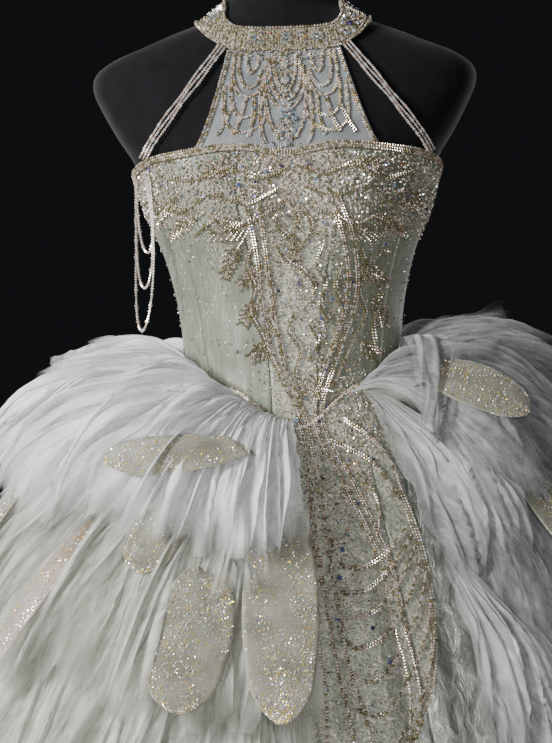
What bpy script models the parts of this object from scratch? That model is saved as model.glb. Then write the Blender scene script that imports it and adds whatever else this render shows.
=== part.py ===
"""A beaded halter ball gown with tulle tiers, on a limbless dress form with a pole and a round base.

Metres, +Z up. The front faces -Y and the origin is under the middle of the base. Every ring and
panel is placed by its angle round the gown: 0 at the centre front, 90 degrees at +X, 180 at the back.
"""

import math
from collections import namedtuple

import bpy
from mathutils import Vector

SEAM_GAP = 0.0003
EASE = 0.0006  # between the form's jersey and what is worn over it
BODICE_WALL = 0.0016
COLLAR_WALL = 0.0022
NET_WALL = 0.001
TULLE_WALL = 0.0012
SKIRT_WALL = 0.0012
PETAL_WALL = 0.001

# The form
Ring = namedtuple("Ring", "height half_width front back power")
FORM_RINGS = [
    Ring(0.800, 0.172, 0.110, 0.130, 2.2),
    Ring(0.860, 0.170, 0.109, 0.128, 2.2),
    Ring(0.920, 0.158, 0.103, 0.117, 2.2),
    Ring(0.980, 0.134, 0.095, 0.098, 2.2),
    Ring(1.049, 0.1150, 0.087, 0.080, 2.2),
    Ring(1.082, 0.1175, 0.088, 0.082, 2.2),
    Ring(1.115, 0.1205, 0.090, 0.086, 2.2),
    Ring(1.148, 0.1265, 0.093, 0.092, 2.2),
    Ring(1.181, 0.1355, 0.097, 0.099, 2.2),
    Ring(1.214, 0.1485, 0.101, 0.106, 2.2),
    Ring(1.245, 0.1590, 0.103, 0.111, 2.3),
    Ring(1.280, 0.1670, 0.100, 0.115, 2.4),
    Ring(1.313, 0.1870, 0.094, 0.116, 2.5),
    Ring(1.343, 0.2030, 0.087, 0.115, 2.5),
    Ring(1.366, 0.2120, 0.081, 0.113, 2.5),
    Ring(1.384, 0.2080, 0.076, 0.110, 2.5),
    Ring(1.398, 0.1900, 0.072, 0.106, 2.4),
    Ring(1.410, 0.1620, 0.069, 0.101, 2.3),
    Ring(1.423, 0.1290, 0.066, 0.094, 2.2),
    Ring(1.436, 0.0930, 0.063, 0.085, 2.1),
    Ring(1.448, 0.0730, 0.060, 0.077, 2.0),
    Ring(1.464, 0.0600, 0.057, 0.068, 2.0),
    Ring(1.485, 0.0550, 0.054, 0.060, 2.0),
    Ring(1.540, 0.0530, 0.051, 0.055, 2.0),
    Ring(1.552, 0.0470, 0.045, 0.049, 2.0),
    Ring(1.556, 0.0360, 0.034, 0.038, 2.0),
]
FORM_COLUMNS = 28
FORM_SLIM = 0.0018  # the padded torso is this much smaller than the line that the gown is cut to
FORM_BUST = 0.8  # and its bust fills this much of the cups
BUST_HEIGHT = 1.226
BUST_OUT = 0.024
BUST_APART = 0.078
BUST_WIDE = 0.052
BUST_TALL = 0.048
POLE_RADIUS = 0.014
BASE_RADIUS = 0.200
BASE_TOP = 0.020  # the height of the boss that the pole stands on
BASE_RIM = 0.007
BOSS_RADIUS = 0.030
BASE_SEGMENTS = 32
POLE_SEGMENTS = 16

# The bodice: its seams' angles in degrees at heights, and its two edges at angles
SeamAngles = namedtuple("SeamAngles", "height princess side_front side_back")
BODICE_SEAMS = [
    SeamAngles(0.980, 14, 55, 106),
    SeamAngles(1.045, 16, 57, 107),
    SeamAngles(1.140, 21, 60, 109),
    SeamAngles(1.230, 29, 64, 112),
    SeamAngles(1.300, 27, 66, 114),
]
TopEdge = namedtuple("TopEdge", "angle height")
BODICE_TOP = [
    TopEdge(0, 1.285),
    TopEdge(28, 1.293),
    TopEdge(52, 1.290),
    TopEdge(68, 1.286),
    TopEdge(90, 1.270),
    TopEdge(120, 1.246),
    TopEdge(180, 1.222),
]
WAIST_HEIGHT = 1.043
POINT_DROP = 0.052
POINT_SPREAD = 30  # degrees from the centre front over which the waist seam comes up again
TRIM_TALL = 0.007
TRIM_THICK = 0.003
TRIM_CLEAR = 0.0019
BUTTONS = 6
BUTTON_RADIUS = 0.0055
BUTTON_TALL = 0.0042
BUTTON_CLEAR = 0.0009

# The collar and the net yoke
CollarFoot = namedtuple("CollarFoot", "angle height")
COLLAR_FOOT = [
    CollarFoot(0, 1.394),
    CollarFoot(38, 1.397),
    CollarFoot(50, 1.408),
    CollarFoot(62, 1.4235),
    CollarFoot(76, 1.4325),
    CollarFoot(95, 1.4365),
    CollarFoot(180, 1.444),
]
COLLAR_TALL = 0.026
YOKE_TOP_HALF = 0.060
YOKE_FOOT_HALF = 0.098
CHEST_RADIUS = 0.2  # a length for turning a sideways miss into an angle
STEPS_TO_SETTLE = 30
BROOCH_ANGLE = 50
BROOCH_RADIUS = 0.011
BROOCH_TALL = 0.006

# Bead strands
STRAND_RADIUS = 0.0016
STRAND_APART = 0.0038
STRAND_CLEAR = 0.0012
STRAP_TOP_X = 0.066
STRAP_FOOT_X = 0.150
STRAP_FOOT_ANGLE = 60
STRAP_HEAD_BELOW = 0.0017  # under the collar's lower edge
STRAP_FOOT_ABOVE = 0.0032  # over the bodice's top edge
STRAP_ASIDE = (0.83, 0.55)  # the way from one strand to the next, across and up
Loop = namedtuple("Loop", "width lowest")
SIDE_LOOPS = [Loop(0.010, 1.186), Loop(0.019, 1.148), Loop(0.028, 1.102)]
LOOP_ANGLE = -78
LOOP_RADIUS = 0.16  # the bodice from the axis, where the loops hang
LOOP_APART = 0.0035
LOOP_BELOW = 0.004
LOOP_CLEAR = 0.0007
RopePoint = namedtuple("RopePoint", "height x")
ROPES = {
    "bead_rope_left_outer": [
        RopePoint(0.780, 0.030), RopePoint(0.850, 0.020), RopePoint(0.930, 0.012),
        RopePoint(1.000, 0.004), RopePoint(1.060, -0.019), RopePoint(1.120, -0.030),
        RopePoint(1.180, -0.036), RopePoint(1.240, -0.048),
    ],
    "bead_rope_left_inner": [
        RopePoint(0.780, 0.042), RopePoint(0.850, 0.032), RopePoint(0.930, 0.022),
        RopePoint(1.000, 0.011), RopePoint(1.060, -0.010), RopePoint(1.120, -0.020),
        RopePoint(1.180, -0.026), RopePoint(1.250, -0.036),
    ],
    "bead_rope_right_inner": [
        RopePoint(0.780, 0.096), RopePoint(0.850, 0.084), RopePoint(0.930, 0.050),
        RopePoint(1.000, 0.020), RopePoint(1.060, 0.034), RopePoint(1.130, 0.058),
        RopePoint(1.190, 0.056), RopePoint(1.250, 0.038),
    ],
    "bead_rope_right_outer": [
        RopePoint(0.780, 0.106), RopePoint(0.850, 0.093), RopePoint(0.930, 0.060),
        RopePoint(1.000, 0.028), RopePoint(1.060, 0.043), RopePoint(1.130, 0.067),
        RopePoint(1.190, 0.066), RopePoint(1.240, 0.050),
    ],
}
ROPE_POINTS = 16
ROPE_CLEAR = 0.0017
ROPE_BOTH = 0.03  # this near the waist seam a rope clears the bodice and the skirt

# The skirt's ground: rings under the tiers, and its seams in degrees
SKIRT_RINGS = [
    Ring(0.012, 0.490, 0.345, 0.460, 2.0),
    Ring(0.250, 0.432, 0.296, 0.395, 2.0),
    Ring(0.450, 0.372, 0.246, 0.325, 2.0),
    Ring(0.650, 0.300, 0.192, 0.248, 2.0),
    Ring(0.800, 0.238, 0.153, 0.188, 2.05),
    Ring(0.900, 0.193, 0.125, 0.150, 2.1),
    Ring(0.980, 0.150, 0.104, 0.113, 2.2),
    Ring(1.049, 0.1162, 0.0882, 0.0812, 2.2),
]
SKIRT_SEAMS = [-180, -105, -30, 38, 105, 180]
SKIRT_PANELS = [
    "skirt_back_left", "skirt_side_left", "skirt_front", "skirt_side_right", "skirt_back_right",
]
SKIRT_HEM = 0.012
SKIRT_ROWS_CLOSER = 1.6  # its rows of points are closer together near the waist

# Tiers of gathered tulle. A row gives how far out from the axis, and how high, a tier's cloth is at
# the side, the front and the back, when a share of its fall has been passed.
Fall = namedtuple("Fall", "share side_out side_up front_out front_up back_out back_up")
FallPoint = namedtuple("FallPoint", "share out up")
Tier = namedtuple(
    "Tier", "name seam_drop left_front left_sweep right_front right_sweep waves rows wave_depth right_lift falls")
TIERS = [
    Tier("tier_1", 0.002, -3, 5, 33, 10, 10, 4, 0.016, 0.016, [
        Fall(0.14, 0.150, 1.080, 0.124, 1.000, 0.115, 1.068),
        Fall(0.32, 0.205, 1.070, 0.146, 0.985, 0.162, 1.058),
        Fall(0.55, 0.262, 1.038, 0.168, 0.955, 0.212, 1.022),
        Fall(0.78, 0.306, 0.985, 0.188, 0.912, 0.255, 0.965),
        Fall(1.00, 0.335, 0.915, 0.202, 0.860, 0.285, 0.895),
    ]),
    Tier("tier_2", 0.080, -2, 8, 46, -4, 10, 4, 0.017, 0.010, [
        Fall(0.20, 0.215, 0.980, 0.142, 0.905, 0.180, 0.968),
        Fall(0.42, 0.280, 0.945, 0.172, 0.860, 0.232, 0.925),
        Fall(0.62, 0.330, 0.882, 0.200, 0.805, 0.276, 0.868),
        Fall(0.82, 0.367, 0.815, 0.224, 0.748, 0.313, 0.800),
        Fall(1.00, 0.395, 0.748, 0.244, 0.692, 0.342, 0.735),
    ]),
    Tier("tier_3", 0.160, -1, 8, 49, -6, 10, 4, 0.018, 0.004, [
        Fall(0.20, 0.258, 0.885, 0.161, 0.800, 0.215, 0.875),
        Fall(0.42, 0.320, 0.825, 0.190, 0.720, 0.265, 0.812),
        Fall(0.62, 0.372, 0.745, 0.214, 0.650, 0.314, 0.732),
        Fall(0.82, 0.415, 0.665, 0.239, 0.585, 0.356, 0.655),
        Fall(1.00, 0.446, 0.590, 0.262, 0.525, 0.390, 0.585),
    ]),
    Tier("overskirt", 0.250, 0, 6, 47, -5, 12, 5, 0.022, 0.0, [
        Fall(0.10, 0.285, 0.780, 0.186, 0.708, 0.232, 0.775),
        Fall(0.24, 0.355, 0.685, 0.221, 0.604, 0.300, 0.680),
        Fall(0.38, 0.418, 0.560, 0.256, 0.500, 0.366, 0.555),
        Fall(0.56, 0.498, 0.405, 0.306, 0.378, 0.458, 0.405),
        Fall(0.78, 0.596, 0.210, 0.380, 0.198, 0.570, 0.210),
        Fall(1.00, 0.680, 0.012, 0.450, 0.012, 0.670, 0.012),
    ]),
]
WAVE_GROWTH = 0.8  # the power at which waves deepen from the seam to the free edge
COLUMNS_PER_WAVE = 4
SWEEP_FADE = 3  # the power at which the swing of a front edge dies away round the gown
TIER_CLEAR = 0.0011
HEM_UNEVEN = 0.07

# Petals of stiff glitter net: each grows from under the tier above, over the tier that carries it
Petal = namedtuple("Petal", "name tier root_angle tip_angle root_share tip_share width")
PETALS = [
    Petal("petal_left_wide", "tier_1", -15, -46, 0.50, 0.76, 0.052),
    Petal("petal_left_short", "tier_2", -37, -39, 0.28, 0.58, 0.046),
    Petal("petal_left_narrow", "tier_2", -51, -60, 0.44, 0.97, 0.024),
    Petal("petal_left_side", "tier_2", -78, -84, 0.34, 0.90, 0.060),
    Petal("petal_left_low", "tier_2", -24, -26, 0.50, 0.96, 0.070),
    Petal("petal_centre_long", "tier_2", -6, -5, 0.22, 0.97, 0.070),
    Petal("petal_right_high", "tier_1", 46, 57, 0.34, 0.72, 0.054),
    Petal("petal_right_low", "tier_2", 60, 65, 0.42, 0.82, 0.056),
    Petal("petal_right_side", "tier_2", 98, 101, 0.28, 0.92, 0.064),
    Petal("petal_back_left", "tier_2", -140, -138, 0.28, 0.93, 0.068),
    Petal("petal_back_right", "tier_2", 146, 143, 0.28, 0.94, 0.068),
]
PETAL_COLUMNS = 4
PETAL_CLEAR = 0.0011
PETAL_ROWS_CLOSER = 1.4  # its rows of points are closer together near its root
PETAL_ROWS = 5

JERSEY_BLACK = ("jersey", (0.012, 0.012, 0.016), 0.9, 0.0)
BLACK_STEEL = ("black_steel", (0.02, 0.02, 0.022), 0.4, 0.8)
BEADED_NET = ("beaded_net", (0.38, 0.36, 0.27), 0.45, 0.2)
IVORY_SATIN = ("ivory_satin", (0.38, 0.40, 0.33), 0.45, 0.0)
GREY_NET = ("grey_net", (0.26, 0.30, 0.33), 0.8, 0.0)
TULLE_WHITE = ("tulle", (0.66, 0.69, 0.64), 0.85, 0.0)
GLITTER_NET = ("glitter_net", (0.48, 0.48, 0.42), 0.4, 0.2)
CRYSTAL = ("crystal", (0.60, 0.56, 0.55), 0.15, 0.3)


def material(finish):
    """The material of a finish, made once."""
    name, colour, roughness, metallic = finish
    if name in bpy.data.materials:
        return bpy.data.materials[name]
    made = bpy.data.materials.new(name)
    made.use_nodes = True
    shader = made.node_tree.nodes["Principled BSDF"]
    shader.inputs["Base Color"].default_value = (*colour, 1)
    shader.inputs["Roughness"].default_value = roughness
    shader.inputs["Metallic"].default_value = metallic
    return made


def add_object(name, data, finish):
    made = bpy.data.objects.new(name, data)
    gown.objects.link(made)
    data.materials.append(material(finish))
    return made


def value_at(rows, column, place, at):
    """A column's value between the rows of a table, on one smooth curve through all of them."""
    places = [getattr(row, place) for row in rows]
    values = [getattr(row, column) for row in rows]
    at = min(max(at, places[0]), places[-1])
    low = max(i for i in range(len(places) - 1) if places[i] <= at)

    def slope(i):
        before, after = max(i - 1, 0), min(i + 1, len(places) - 1)
        return (values[after] - values[before]) / (places[after] - places[before])

    span = places[low + 1] - places[low]
    t = (at - places[low]) / span
    rise = values[low + 1] - values[low]
    start, end = slope(low) * span, slope(low + 1) * span
    return values[low] + t * (start + t * (3 * rise - 2 * start - end + t * (start + end - 2 * rise)))


def ring_radius(rings, angle, height):
    """How far a ring table's surface is from the axis, in a direction and at a height."""
    half_width, front, back, power = [value_at(rings, c, "height", height) for c in Ring._fields[1:]]
    depth = front if math.cos(angle) > 0 else back
    across, along = abs(math.sin(angle)) / half_width, abs(math.cos(angle)) / depth
    return (across**power + along**power) ** (-1 / power)


def bust(x, height, angle):
    """How far the bodice's cups and the form under them stand forward of the plain rings."""
    beside = math.exp(-(((abs(x) - BUST_APART) / BUST_WIDE) ** 2))
    above = math.exp(-(((height - BUST_HEIGHT) / BUST_TALL) ** 2))
    return BUST_OUT * beside * above * max(0.0, math.cos(angle))


def form_point(angle, height, cups=1.0):
    radius = ring_radius(FORM_RINGS, angle, height)
    x = radius * math.sin(angle)
    return Vector((x, -radius * math.cos(angle) - cups * bust(x, height, angle), height))


def torso_point(angle, height):
    return form_point(angle, height, FORM_BUST)


def skirt_point(angle, height):
    radius = ring_radius(SKIRT_RINGS, angle, height)
    return Vector((radius * math.sin(angle), -radius * math.cos(angle), height))


def lifted(surface, angle, height, out):
    """A point on a surface, moved out along the surface's normal."""
    step = 1e-4
    across = surface(angle + step, height) - surface(angle - step, height)
    up = surface(angle, height + step) - surface(angle, height - step)
    return surface(angle, height) + across.cross(up).normalized() * out


def grid_mesh(name, point_at, columns, rows):
    """An open mesh from point_at(across, up), each from 0 to 1, with its faces outwards."""
    mesh = bpy.data.meshes.new(name)
    points = [point_at(i / columns, j / rows) for j in range(rows + 1) for i in range(columns + 1)]
    wide = columns + 1
    faces = [
        (j * wide + i, j * wide + i + 1, (j + 1) * wide + i + 1, (j + 1) * wide + i)
        for j in range(rows)
        for i in range(columns)
    ]
    mesh.from_pydata(points, [], faces)
    mesh.shade_smooth()
    return mesh


def cloth(name, point_at, columns, rows, wall, finish):
    """A cloth piece: its inner face from point_at, and its thickness outside that."""
    made = add_object(name, grid_mesh(name, point_at, columns, rows), finish)
    thicken = made.modifiers.new("Wall", "SOLIDIFY")
    thicken.thickness = wall
    thicken.offset = 1
    return made


def turned(name, profile, segments, finish):
    """A shape turned about Z from (radius, height) points that run from its top to its underside."""
    mesh = bpy.data.meshes.new(name)
    mesh.from_pydata([(r, 0, z) for r, z in profile], [(i, i + 1) for i in range(len(profile) - 1)], [])
    made = add_object(name, mesh, finish)
    turn = made.modifiers.new("Turn", "SCREW")
    turn.steps = turn.render_steps = segments
    turn.use_merge_vertices = True
    turn.merge_threshold = 1e-5
    turn.use_smooth_shade = True
    return made


def strand(name, points, radius, finish):
    """A strand of beads as a thin tube along its points."""
    curve = bpy.data.curves.new(name, "CURVE")
    curve.dimensions = "3D"
    curve.bevel_depth = radius
    curve.bevel_resolution = 1
    curve.use_fill_caps = True
    line = curve.splines.new("POLY")
    line.points.add(len(points) - 1)
    for place, point in zip(line.points, points):
        place.co = (*point, 1)
    return add_object(name, curve, finish)


def faced(made, place, normal):
    """Stands a turned piece on a surface, with its own Z along the surface's normal."""
    made.location = place
    made.rotation_euler = normal.to_track_quat("Z", "Y").to_euler()


# The waist seam, the bodice's top edge and the collar's lower edge


def waist_seam(angle):
    return WAIST_HEIGHT - POINT_DROP * math.exp(-((math.degrees(angle) / POINT_SPREAD) ** 2))


def bodice_top(angle):
    return value_at(BODICE_TOP, "height", "angle", abs(math.degrees(angle)))


def collar_foot(angle):
    """The collar's lower edge: low at the front, up over the shoulders and level behind the neck."""
    return value_at(COLLAR_FOOT, "height", "angle", abs(math.degrees(angle)))


def build_form():
    """The torso from its rings, with its neck closed, on a pole in the middle of a round base."""
    mesh = bpy.data.meshes.new("form_torso")
    step = 2 * math.pi / FORM_COLUMNS
    rings = [ring.height for ring in FORM_RINGS]
    points = []
    for height in rings:
        points += [lifted(torso_point, i * step, height, -FORM_SLIM) for i in range(FORM_COLUMNS)]
    faces = []
    for j in range(len(rings) - 1):
        for i in range(FORM_COLUMNS):
            after = (i + 1) % FORM_COLUMNS
            low, high = j * FORM_COLUMNS, (j + 1) * FORM_COLUMNS
            faces.append((low + i, low + after, high + after, high + i))
    top = (len(rings) - 1) * FORM_COLUMNS
    faces.append(tuple(reversed(range(FORM_COLUMNS))))
    faces.append(tuple(range(top, top + FORM_COLUMNS)))
    mesh.from_pydata(points, [], faces)
    mesh.shade_smooth()
    add_object("form_torso", mesh, JERSEY_BLACK)
    base = [
        (0, BASE_TOP), (BOSS_RADIUS, BASE_TOP), (BOSS_RADIUS * 1.2, BASE_TOP * 0.65),
        (BASE_RADIUS * 0.9, BASE_RIM + 0.002), (BASE_RADIUS - 0.003, BASE_RIM),
        (BASE_RADIUS, BASE_RIM - 0.003), (BASE_RADIUS, 0), (0, 0),
    ]
    turned("form_base", base, BASE_SEGMENTS, BLACK_STEEL)
    foot = BASE_TOP + SEAM_GAP
    head = lifted(torso_point, 0, FORM_RINGS[0].height, -FORM_SLIM).z - 2 * SEAM_GAP
    pole = [(0, head), (POLE_RADIUS, head), (POLE_RADIUS, foot), (0, foot)]
    turned("form_pole", pole, POLE_SEGMENTS, BLACK_STEEL)


def build_collar():
    """A stiff beaded band round the foot of the neck, closed with one button behind."""
    half_gap = SEAM_GAP / 2 / 0.08

    def point_at(across, up):
        angle = -math.pi + half_gap + across * 2 * (math.pi - half_gap)
        return lifted(form_point, angle, collar_foot(angle) + up * COLLAR_TALL, EASE)

    cloth("collar", point_at, 32, 2, COLLAR_WALL, BEADED_NET)
    turn = math.radians(BROOCH_ANGLE)
    height = collar_foot(turn) + COLLAR_TALL / 2
    foot = lifted(form_point, turn, height, EASE + COLLAR_WALL + SEAM_GAP)
    normal = lifted(form_point, turn, height, 1) - form_point(turn, height)
    dome = [
        (0, BROOCH_TALL), (BROOCH_RADIUS * 0.45, BROOCH_TALL * 0.92),
        (BROOCH_RADIUS * 0.82, BROOCH_TALL * 0.58), (BROOCH_RADIUS, BROOCH_TALL * 0.2),
        (BROOCH_RADIUS, 0), (0, 0),
    ]
    faced(turned("collar_brooch", dome, 12, CRYSTAL), foot, normal)


def build_yoke():
    """The sheer net between the collar and the bodice, on the form's chest."""

    def point_at(across, up):
        side = 2 * across - 1
        half = YOKE_FOOT_HALF + (YOKE_TOP_HALF - YOKE_FOOT_HALF) * up**0.75
        angle = 0.0
        for _ in range(STEPS_TO_SETTLE):
            low, high = bodice_top(angle) + SEAM_GAP, collar_foot(angle) - SEAM_GAP
            height = low + (high - low) * up
            angle += (side * half - form_point(angle, height).x) / CHEST_RADIUS
        return lifted(form_point, angle, height, EASE)

    cloth("yoke_net", point_at, 10, 6, NET_WALL, GREY_NET)


def build_bodice():
    """Seven boned panels, meeting at their seams, and the beaded edging round their top."""
    seams = ["back", "side_back", "side_front", "princess"]

    def seam_angle(seam, height):
        if seam == "back":
            return math.pi
        return math.radians(value_at(BODICE_SEAMS, seam, "height", height))

    def panel(name, left, left_side, right, right_side, rows):
        def point_at(across, up):
            height = WAIST_HEIGHT
            for _ in range(STEPS_TO_SETTLE // 5):
                half_gap = SEAM_GAP / ring_radius(FORM_RINGS, 0, height)
                start = left_side * seam_angle(left, height) + half_gap
                end = right_side * seam_angle(right, height) - half_gap
                angle = start + (end - start) * across
                low, high = waist_seam(angle) + SEAM_GAP / 2, bodice_top(angle)
                height = low + (high - low) * up
            return lifted(form_point, angle, height, EASE)

        cloth(name, point_at, 6, rows, BODICE_WALL, IVORY_SATIN)

    for outer, inner, name in zip(seams, seams[1:], ["back", "side", "side_front"]):
        panel(f"bodice_{name}_left", outer, -1, inner, -1, 7)
        panel(f"bodice_{name}_right", inner, 1, outer, 1, 7)
    panel("bodice_centre_front", "princess", -1, "princess", 1, 9)

    def trim_at(across, up):
        half_gap = SEAM_GAP / 0.1
        angle = -math.pi + half_gap + across * 2 * (math.pi - half_gap)
        height = bodice_top(angle) - 0.0005 - TRIM_TALL * (1 - up)
        return lifted(form_point, angle, height, EASE + BODICE_WALL + TRIM_CLEAR)

    cloth("bodice_top_trim", trim_at, 42, 1, TRIM_THICK, BEADED_NET)


def build_buttons():
    """Covered buttons down the centre back, and one that closes the collar."""
    dome = [
        (0, BUTTON_TALL), (BUTTON_RADIUS * 0.6, BUTTON_TALL * 0.85),
        (BUTTON_RADIUS * 0.95, BUTTON_TALL * 0.45), (BUTTON_RADIUS, BUTTON_TALL * 0.2),
        (BUTTON_RADIUS * 0.8, 0), (0, 0),
    ]
    low, high = WAIST_HEIGHT + 0.032, bodice_top(math.pi) - 0.022
    places = [(low + (high - low) * i / (BUTTONS - 1), BODICE_WALL) for i in range(BUTTONS)]
    places.append((COLLAR_FOOT[-1].height + COLLAR_TALL / 2, COLLAR_WALL))
    names = [f"back_button_{i + 1}" for i in range(BUTTONS)] + ["collar_button"]
    for name, (height, wall) in zip(names, places):
        place = lifted(form_point, math.pi, height, EASE + wall + BUTTON_CLEAR)
        normal = (lifted(form_point, math.pi, height, 1) - form_point(math.pi, height)).normalized()
        faced(turned(name, dome, 10, IVORY_SATIN), place, normal)


def angle_at(x, height, surface):
    """The angle at which a surface is this far to one side."""
    angle = 0.0
    for _ in range(STEPS_TO_SETTLE):
        angle += (x - surface(angle, height).x) / CHEST_RADIUS
    return angle


def build_straps():
    """Three strands of beads from the collar to each top corner of the bodice."""
    count = 9
    high = collar_foot(angle_at(STRAP_TOP_X, COLLAR_FOOT[2].height, form_point)) - STRAP_HEAD_BELOW
    low = bodice_top(math.radians(STRAP_FOOT_ANGLE)) + STRAP_FOOT_ABOVE
    for side, word in ((-1, "left"), (1, "right")):
        for k in range(3):
            beside = (k - 1) * STRAND_APART
            points = []
            for i in range(count + 1):
                t = i / count
                x = STRAP_TOP_X + (STRAP_FOOT_X - STRAP_TOP_X) * t + beside * STRAP_ASIDE[0]
                height = high + (low - high) * t + beside * STRAP_ASIDE[1]
                angle = angle_at(side * x, height, form_point)
                points.append(lifted(form_point, angle, height, STRAND_RADIUS + EASE + STRAND_CLEAR))
            strand(f"strap_{word}_strand_{k + 1}", points, STRAND_RADIUS, BEADED_NET)


def build_side_loops():
    """Loops of beads that hang from the bodice's left top corner and swing clear of its side."""
    count = 13
    for k, loop in enumerate(SIDE_LOOPS):
        points = []
        for i in range(count + 1):
            turn = math.pi * i / count
            hang = max(0.0, math.sin(turn))
            beside = math.cos(turn) * loop.width + LOOP_APART * (k - 1)
            angle = math.radians(LOOP_ANGLE) - beside / LOOP_RADIUS
            high = bodice_top(angle) - TRIM_TALL - LOOP_BELOW
            point = lifted(form_point, angle, high, EASE + BODICE_WALL + STRAND_RADIUS + LOOP_CLEAR)
            point.z -= (high - loop.lowest) * hang**0.8
            point.x -= LOOP_APART * k * hang
            points.append(point)
        strand(f"side_loop_{k + 1}", points, STRAND_RADIUS, BEADED_NET)


def build_ropes():
    """Raised ropes of beads that run from the bust over the waist and down the skirt's front."""
    for name, rows in ROPES.items():
        points = []
        for i in range(ROPE_POINTS):
            height = rows[-1].height + (rows[0].height - rows[-1].height) * i / (ROPE_POINTS - 1)
            x = value_at(rows, "x", "height", height)
            places = []
            for surface, wall in ((form_point, EASE + BODICE_WALL), (skirt_point, SKIRT_WALL)):
                angle = angle_at(x, height, surface)
                if surface is form_point and height < waist_seam(angle) - ROPE_BOTH:
                    continue
                if surface is skirt_point and height > waist_seam(angle) + ROPE_BOTH:
                    continue
                places.append(lifted(surface, angle, height, wall + STRAND_RADIUS + ROPE_CLEAR))
            points.append(min(places, key=lambda p: p.y))
        strand(name, points, STRAND_RADIUS, BEADED_NET)


def build_skirt():
    """The skirt's ground in five panels: the beaded front one shows, the others carry the tiers."""
    for name, first, last in zip(SKIRT_PANELS, SKIRT_SEAMS, SKIRT_SEAMS[1:]):

        def point_at(across, up):
            angle = math.radians(first + (last - first) * across)
            fall = (1 - up) ** SKIRT_ROWS_CLOSER
            height = SKIRT_HEM + (waist_seam(angle) - SEAM_GAP / 2 - SKIRT_HEM) * (1 - fall)
            half_gap = SEAM_GAP / 2 / ring_radius(SKIRT_RINGS, angle, height)
            angle += half_gap * (1 - 2 * across)
            return skirt_point(angle, height)

        cloth(name, point_at, 6, 8, SKIRT_WALL, BEADED_NET if name == "skirt_front" else IVORY_SATIN)


def tier_knots(tier, angle):
    """The points that a tier's cloth falls through in one direction, from its seam to its free edge."""
    side = math.sin(angle) ** 2
    front = math.cos(angle) > 0
    lift = tier.right_lift * side * max(0.0, math.copysign(1, angle))
    seam_height = waist_seam(angle) - tier.seam_drop
    seam = lifted(skirt_point, angle, seam_height, SKIRT_WALL + TIER_CLEAR)
    knots = [FallPoint(0, math.hypot(seam.x, seam.y), seam.z)]
    for fall in tier.falls:
        out, up = (fall.front_out, fall.front_up) if front else (fall.back_out, fall.back_up)
        height = fall.side_up * side + up * (1 - side) + lift * min(1.0, fall.share * 3)
        knots.append(FallPoint(fall.share, fall.side_out * side + out * (1 - side), height))
    return knots


def tier_point(tier, angle, share, lift=0.0, wave=0.0):
    """A point on a tier, waved and lifted along the normal of its fall."""
    knots = tier_knots(tier, angle)
    out, up = [value_at(knots, c, "share", share) for c in ("out", "up")]
    near, far = max(0.0, share - 0.01), min(1.0, share + 0.01)
    run = value_at(knots, "out", "share", far) - value_at(knots, "out", "share", near)
    rise = value_at(knots, "up", "share", far) - value_at(knots, "up", "share", near)
    long = math.hypot(run, rise)
    move = lift + wave * tier.wave_depth * share**WAVE_GROWTH
    out += -rise / long * move
    up += run / long * move
    return Vector((out * math.sin(angle), -out * math.cos(angle), up))


def gather_wave(tier, along, side):
    """The uneven in and out of a gathered edge, from -1 to 1, a place along it."""
    phase = 2 * math.pi * along
    drift = 0.8 * math.sin(2.3 * phase + 1.7 * side + tier.waves)
    depth = 0.78 + 0.22 * math.sin(3.1 * phase + 0.9 + side)
    return depth * math.sin(tier.waves * phase + drift)


def tier_span(tier, side):
    """The angles between which a tier's left or right piece runs."""
    if side < 0:
        return -math.pi, math.radians(tier.left_front)
    return math.radians(tier.right_front), math.pi


def tier_long(tier, angle):
    """The share of its fall at which a tier's uneven free edge ends."""
    if tier.name == "overskirt":
        return 1
    return 1 - HEM_UNEVEN * (0.5 + 0.5 * math.sin(9 * angle + tier.waves))


def front_sweep(tier, side, across, share):
    """How far a piece's cloth swings round to or from the centre front as it falls, near its front edge."""
    if side < 0:
        return math.radians(tier.left_sweep) * across**SWEEP_FADE * share
    return math.radians(tier.right_sweep) * (1 - across) ** SWEEP_FADE * share


def tier_cloth(tier, side, across, up):
    start, end = tier_span(tier, side)
    angle = start + (end - start) * across
    share = (1 - up) * tier_long(tier, angle)
    angle += front_sweep(tier, side, across, share)
    smooth = tier_point(tier, angle, share)
    angle -= side * 2 * SEAM_GAP / math.hypot(smooth.x, smooth.y)
    return tier_point(tier, angle, share, 0, gather_wave(tier, across, side))


def on_tier(tier, side, angle, share):
    """A point on the flat faces of a tier's piece, between the four corners round it."""
    start, end = tier_span(tier, side)
    across = (angle - start) / (end - start)
    columns = tier.waves * COLUMNS_PER_WAVE
    for _ in range(STEPS_TO_SETTLE // 5):
        across = (angle - front_sweep(tier, side, across, share) - start) / (end - start)
    i = across * columns
    j = max(0.0, 1 - share / tier_long(tier, angle)) * tier.rows
    left, low = math.floor(i), math.floor(j)
    near = tier_cloth(tier, side, left / columns, low / tier.rows).lerp(
        tier_cloth(tier, side, (left + 1) / columns, low / tier.rows), i - left)
    far = tier_cloth(tier, side, left / columns, (low + 1) / tier.rows).lerp(
        tier_cloth(tier, side, (left + 1) / columns, (low + 1) / tier.rows), i - left)
    return near.lerp(far, j - low)


def build_tiers():
    """Each tier in a left and a right piece, from the centre opening round to the centre back."""
    for tier in TIERS:
        for word, side in (("left", -1), ("right", 1)):

            def point_at(across, up):
                return tier_cloth(tier, side, across, up)

            columns = tier.waves * COLUMNS_PER_WAVE
            cloth(f"{tier.name}_{word}", point_at, columns, tier.rows, TULLE_WALL, TULLE_WHITE)


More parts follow.
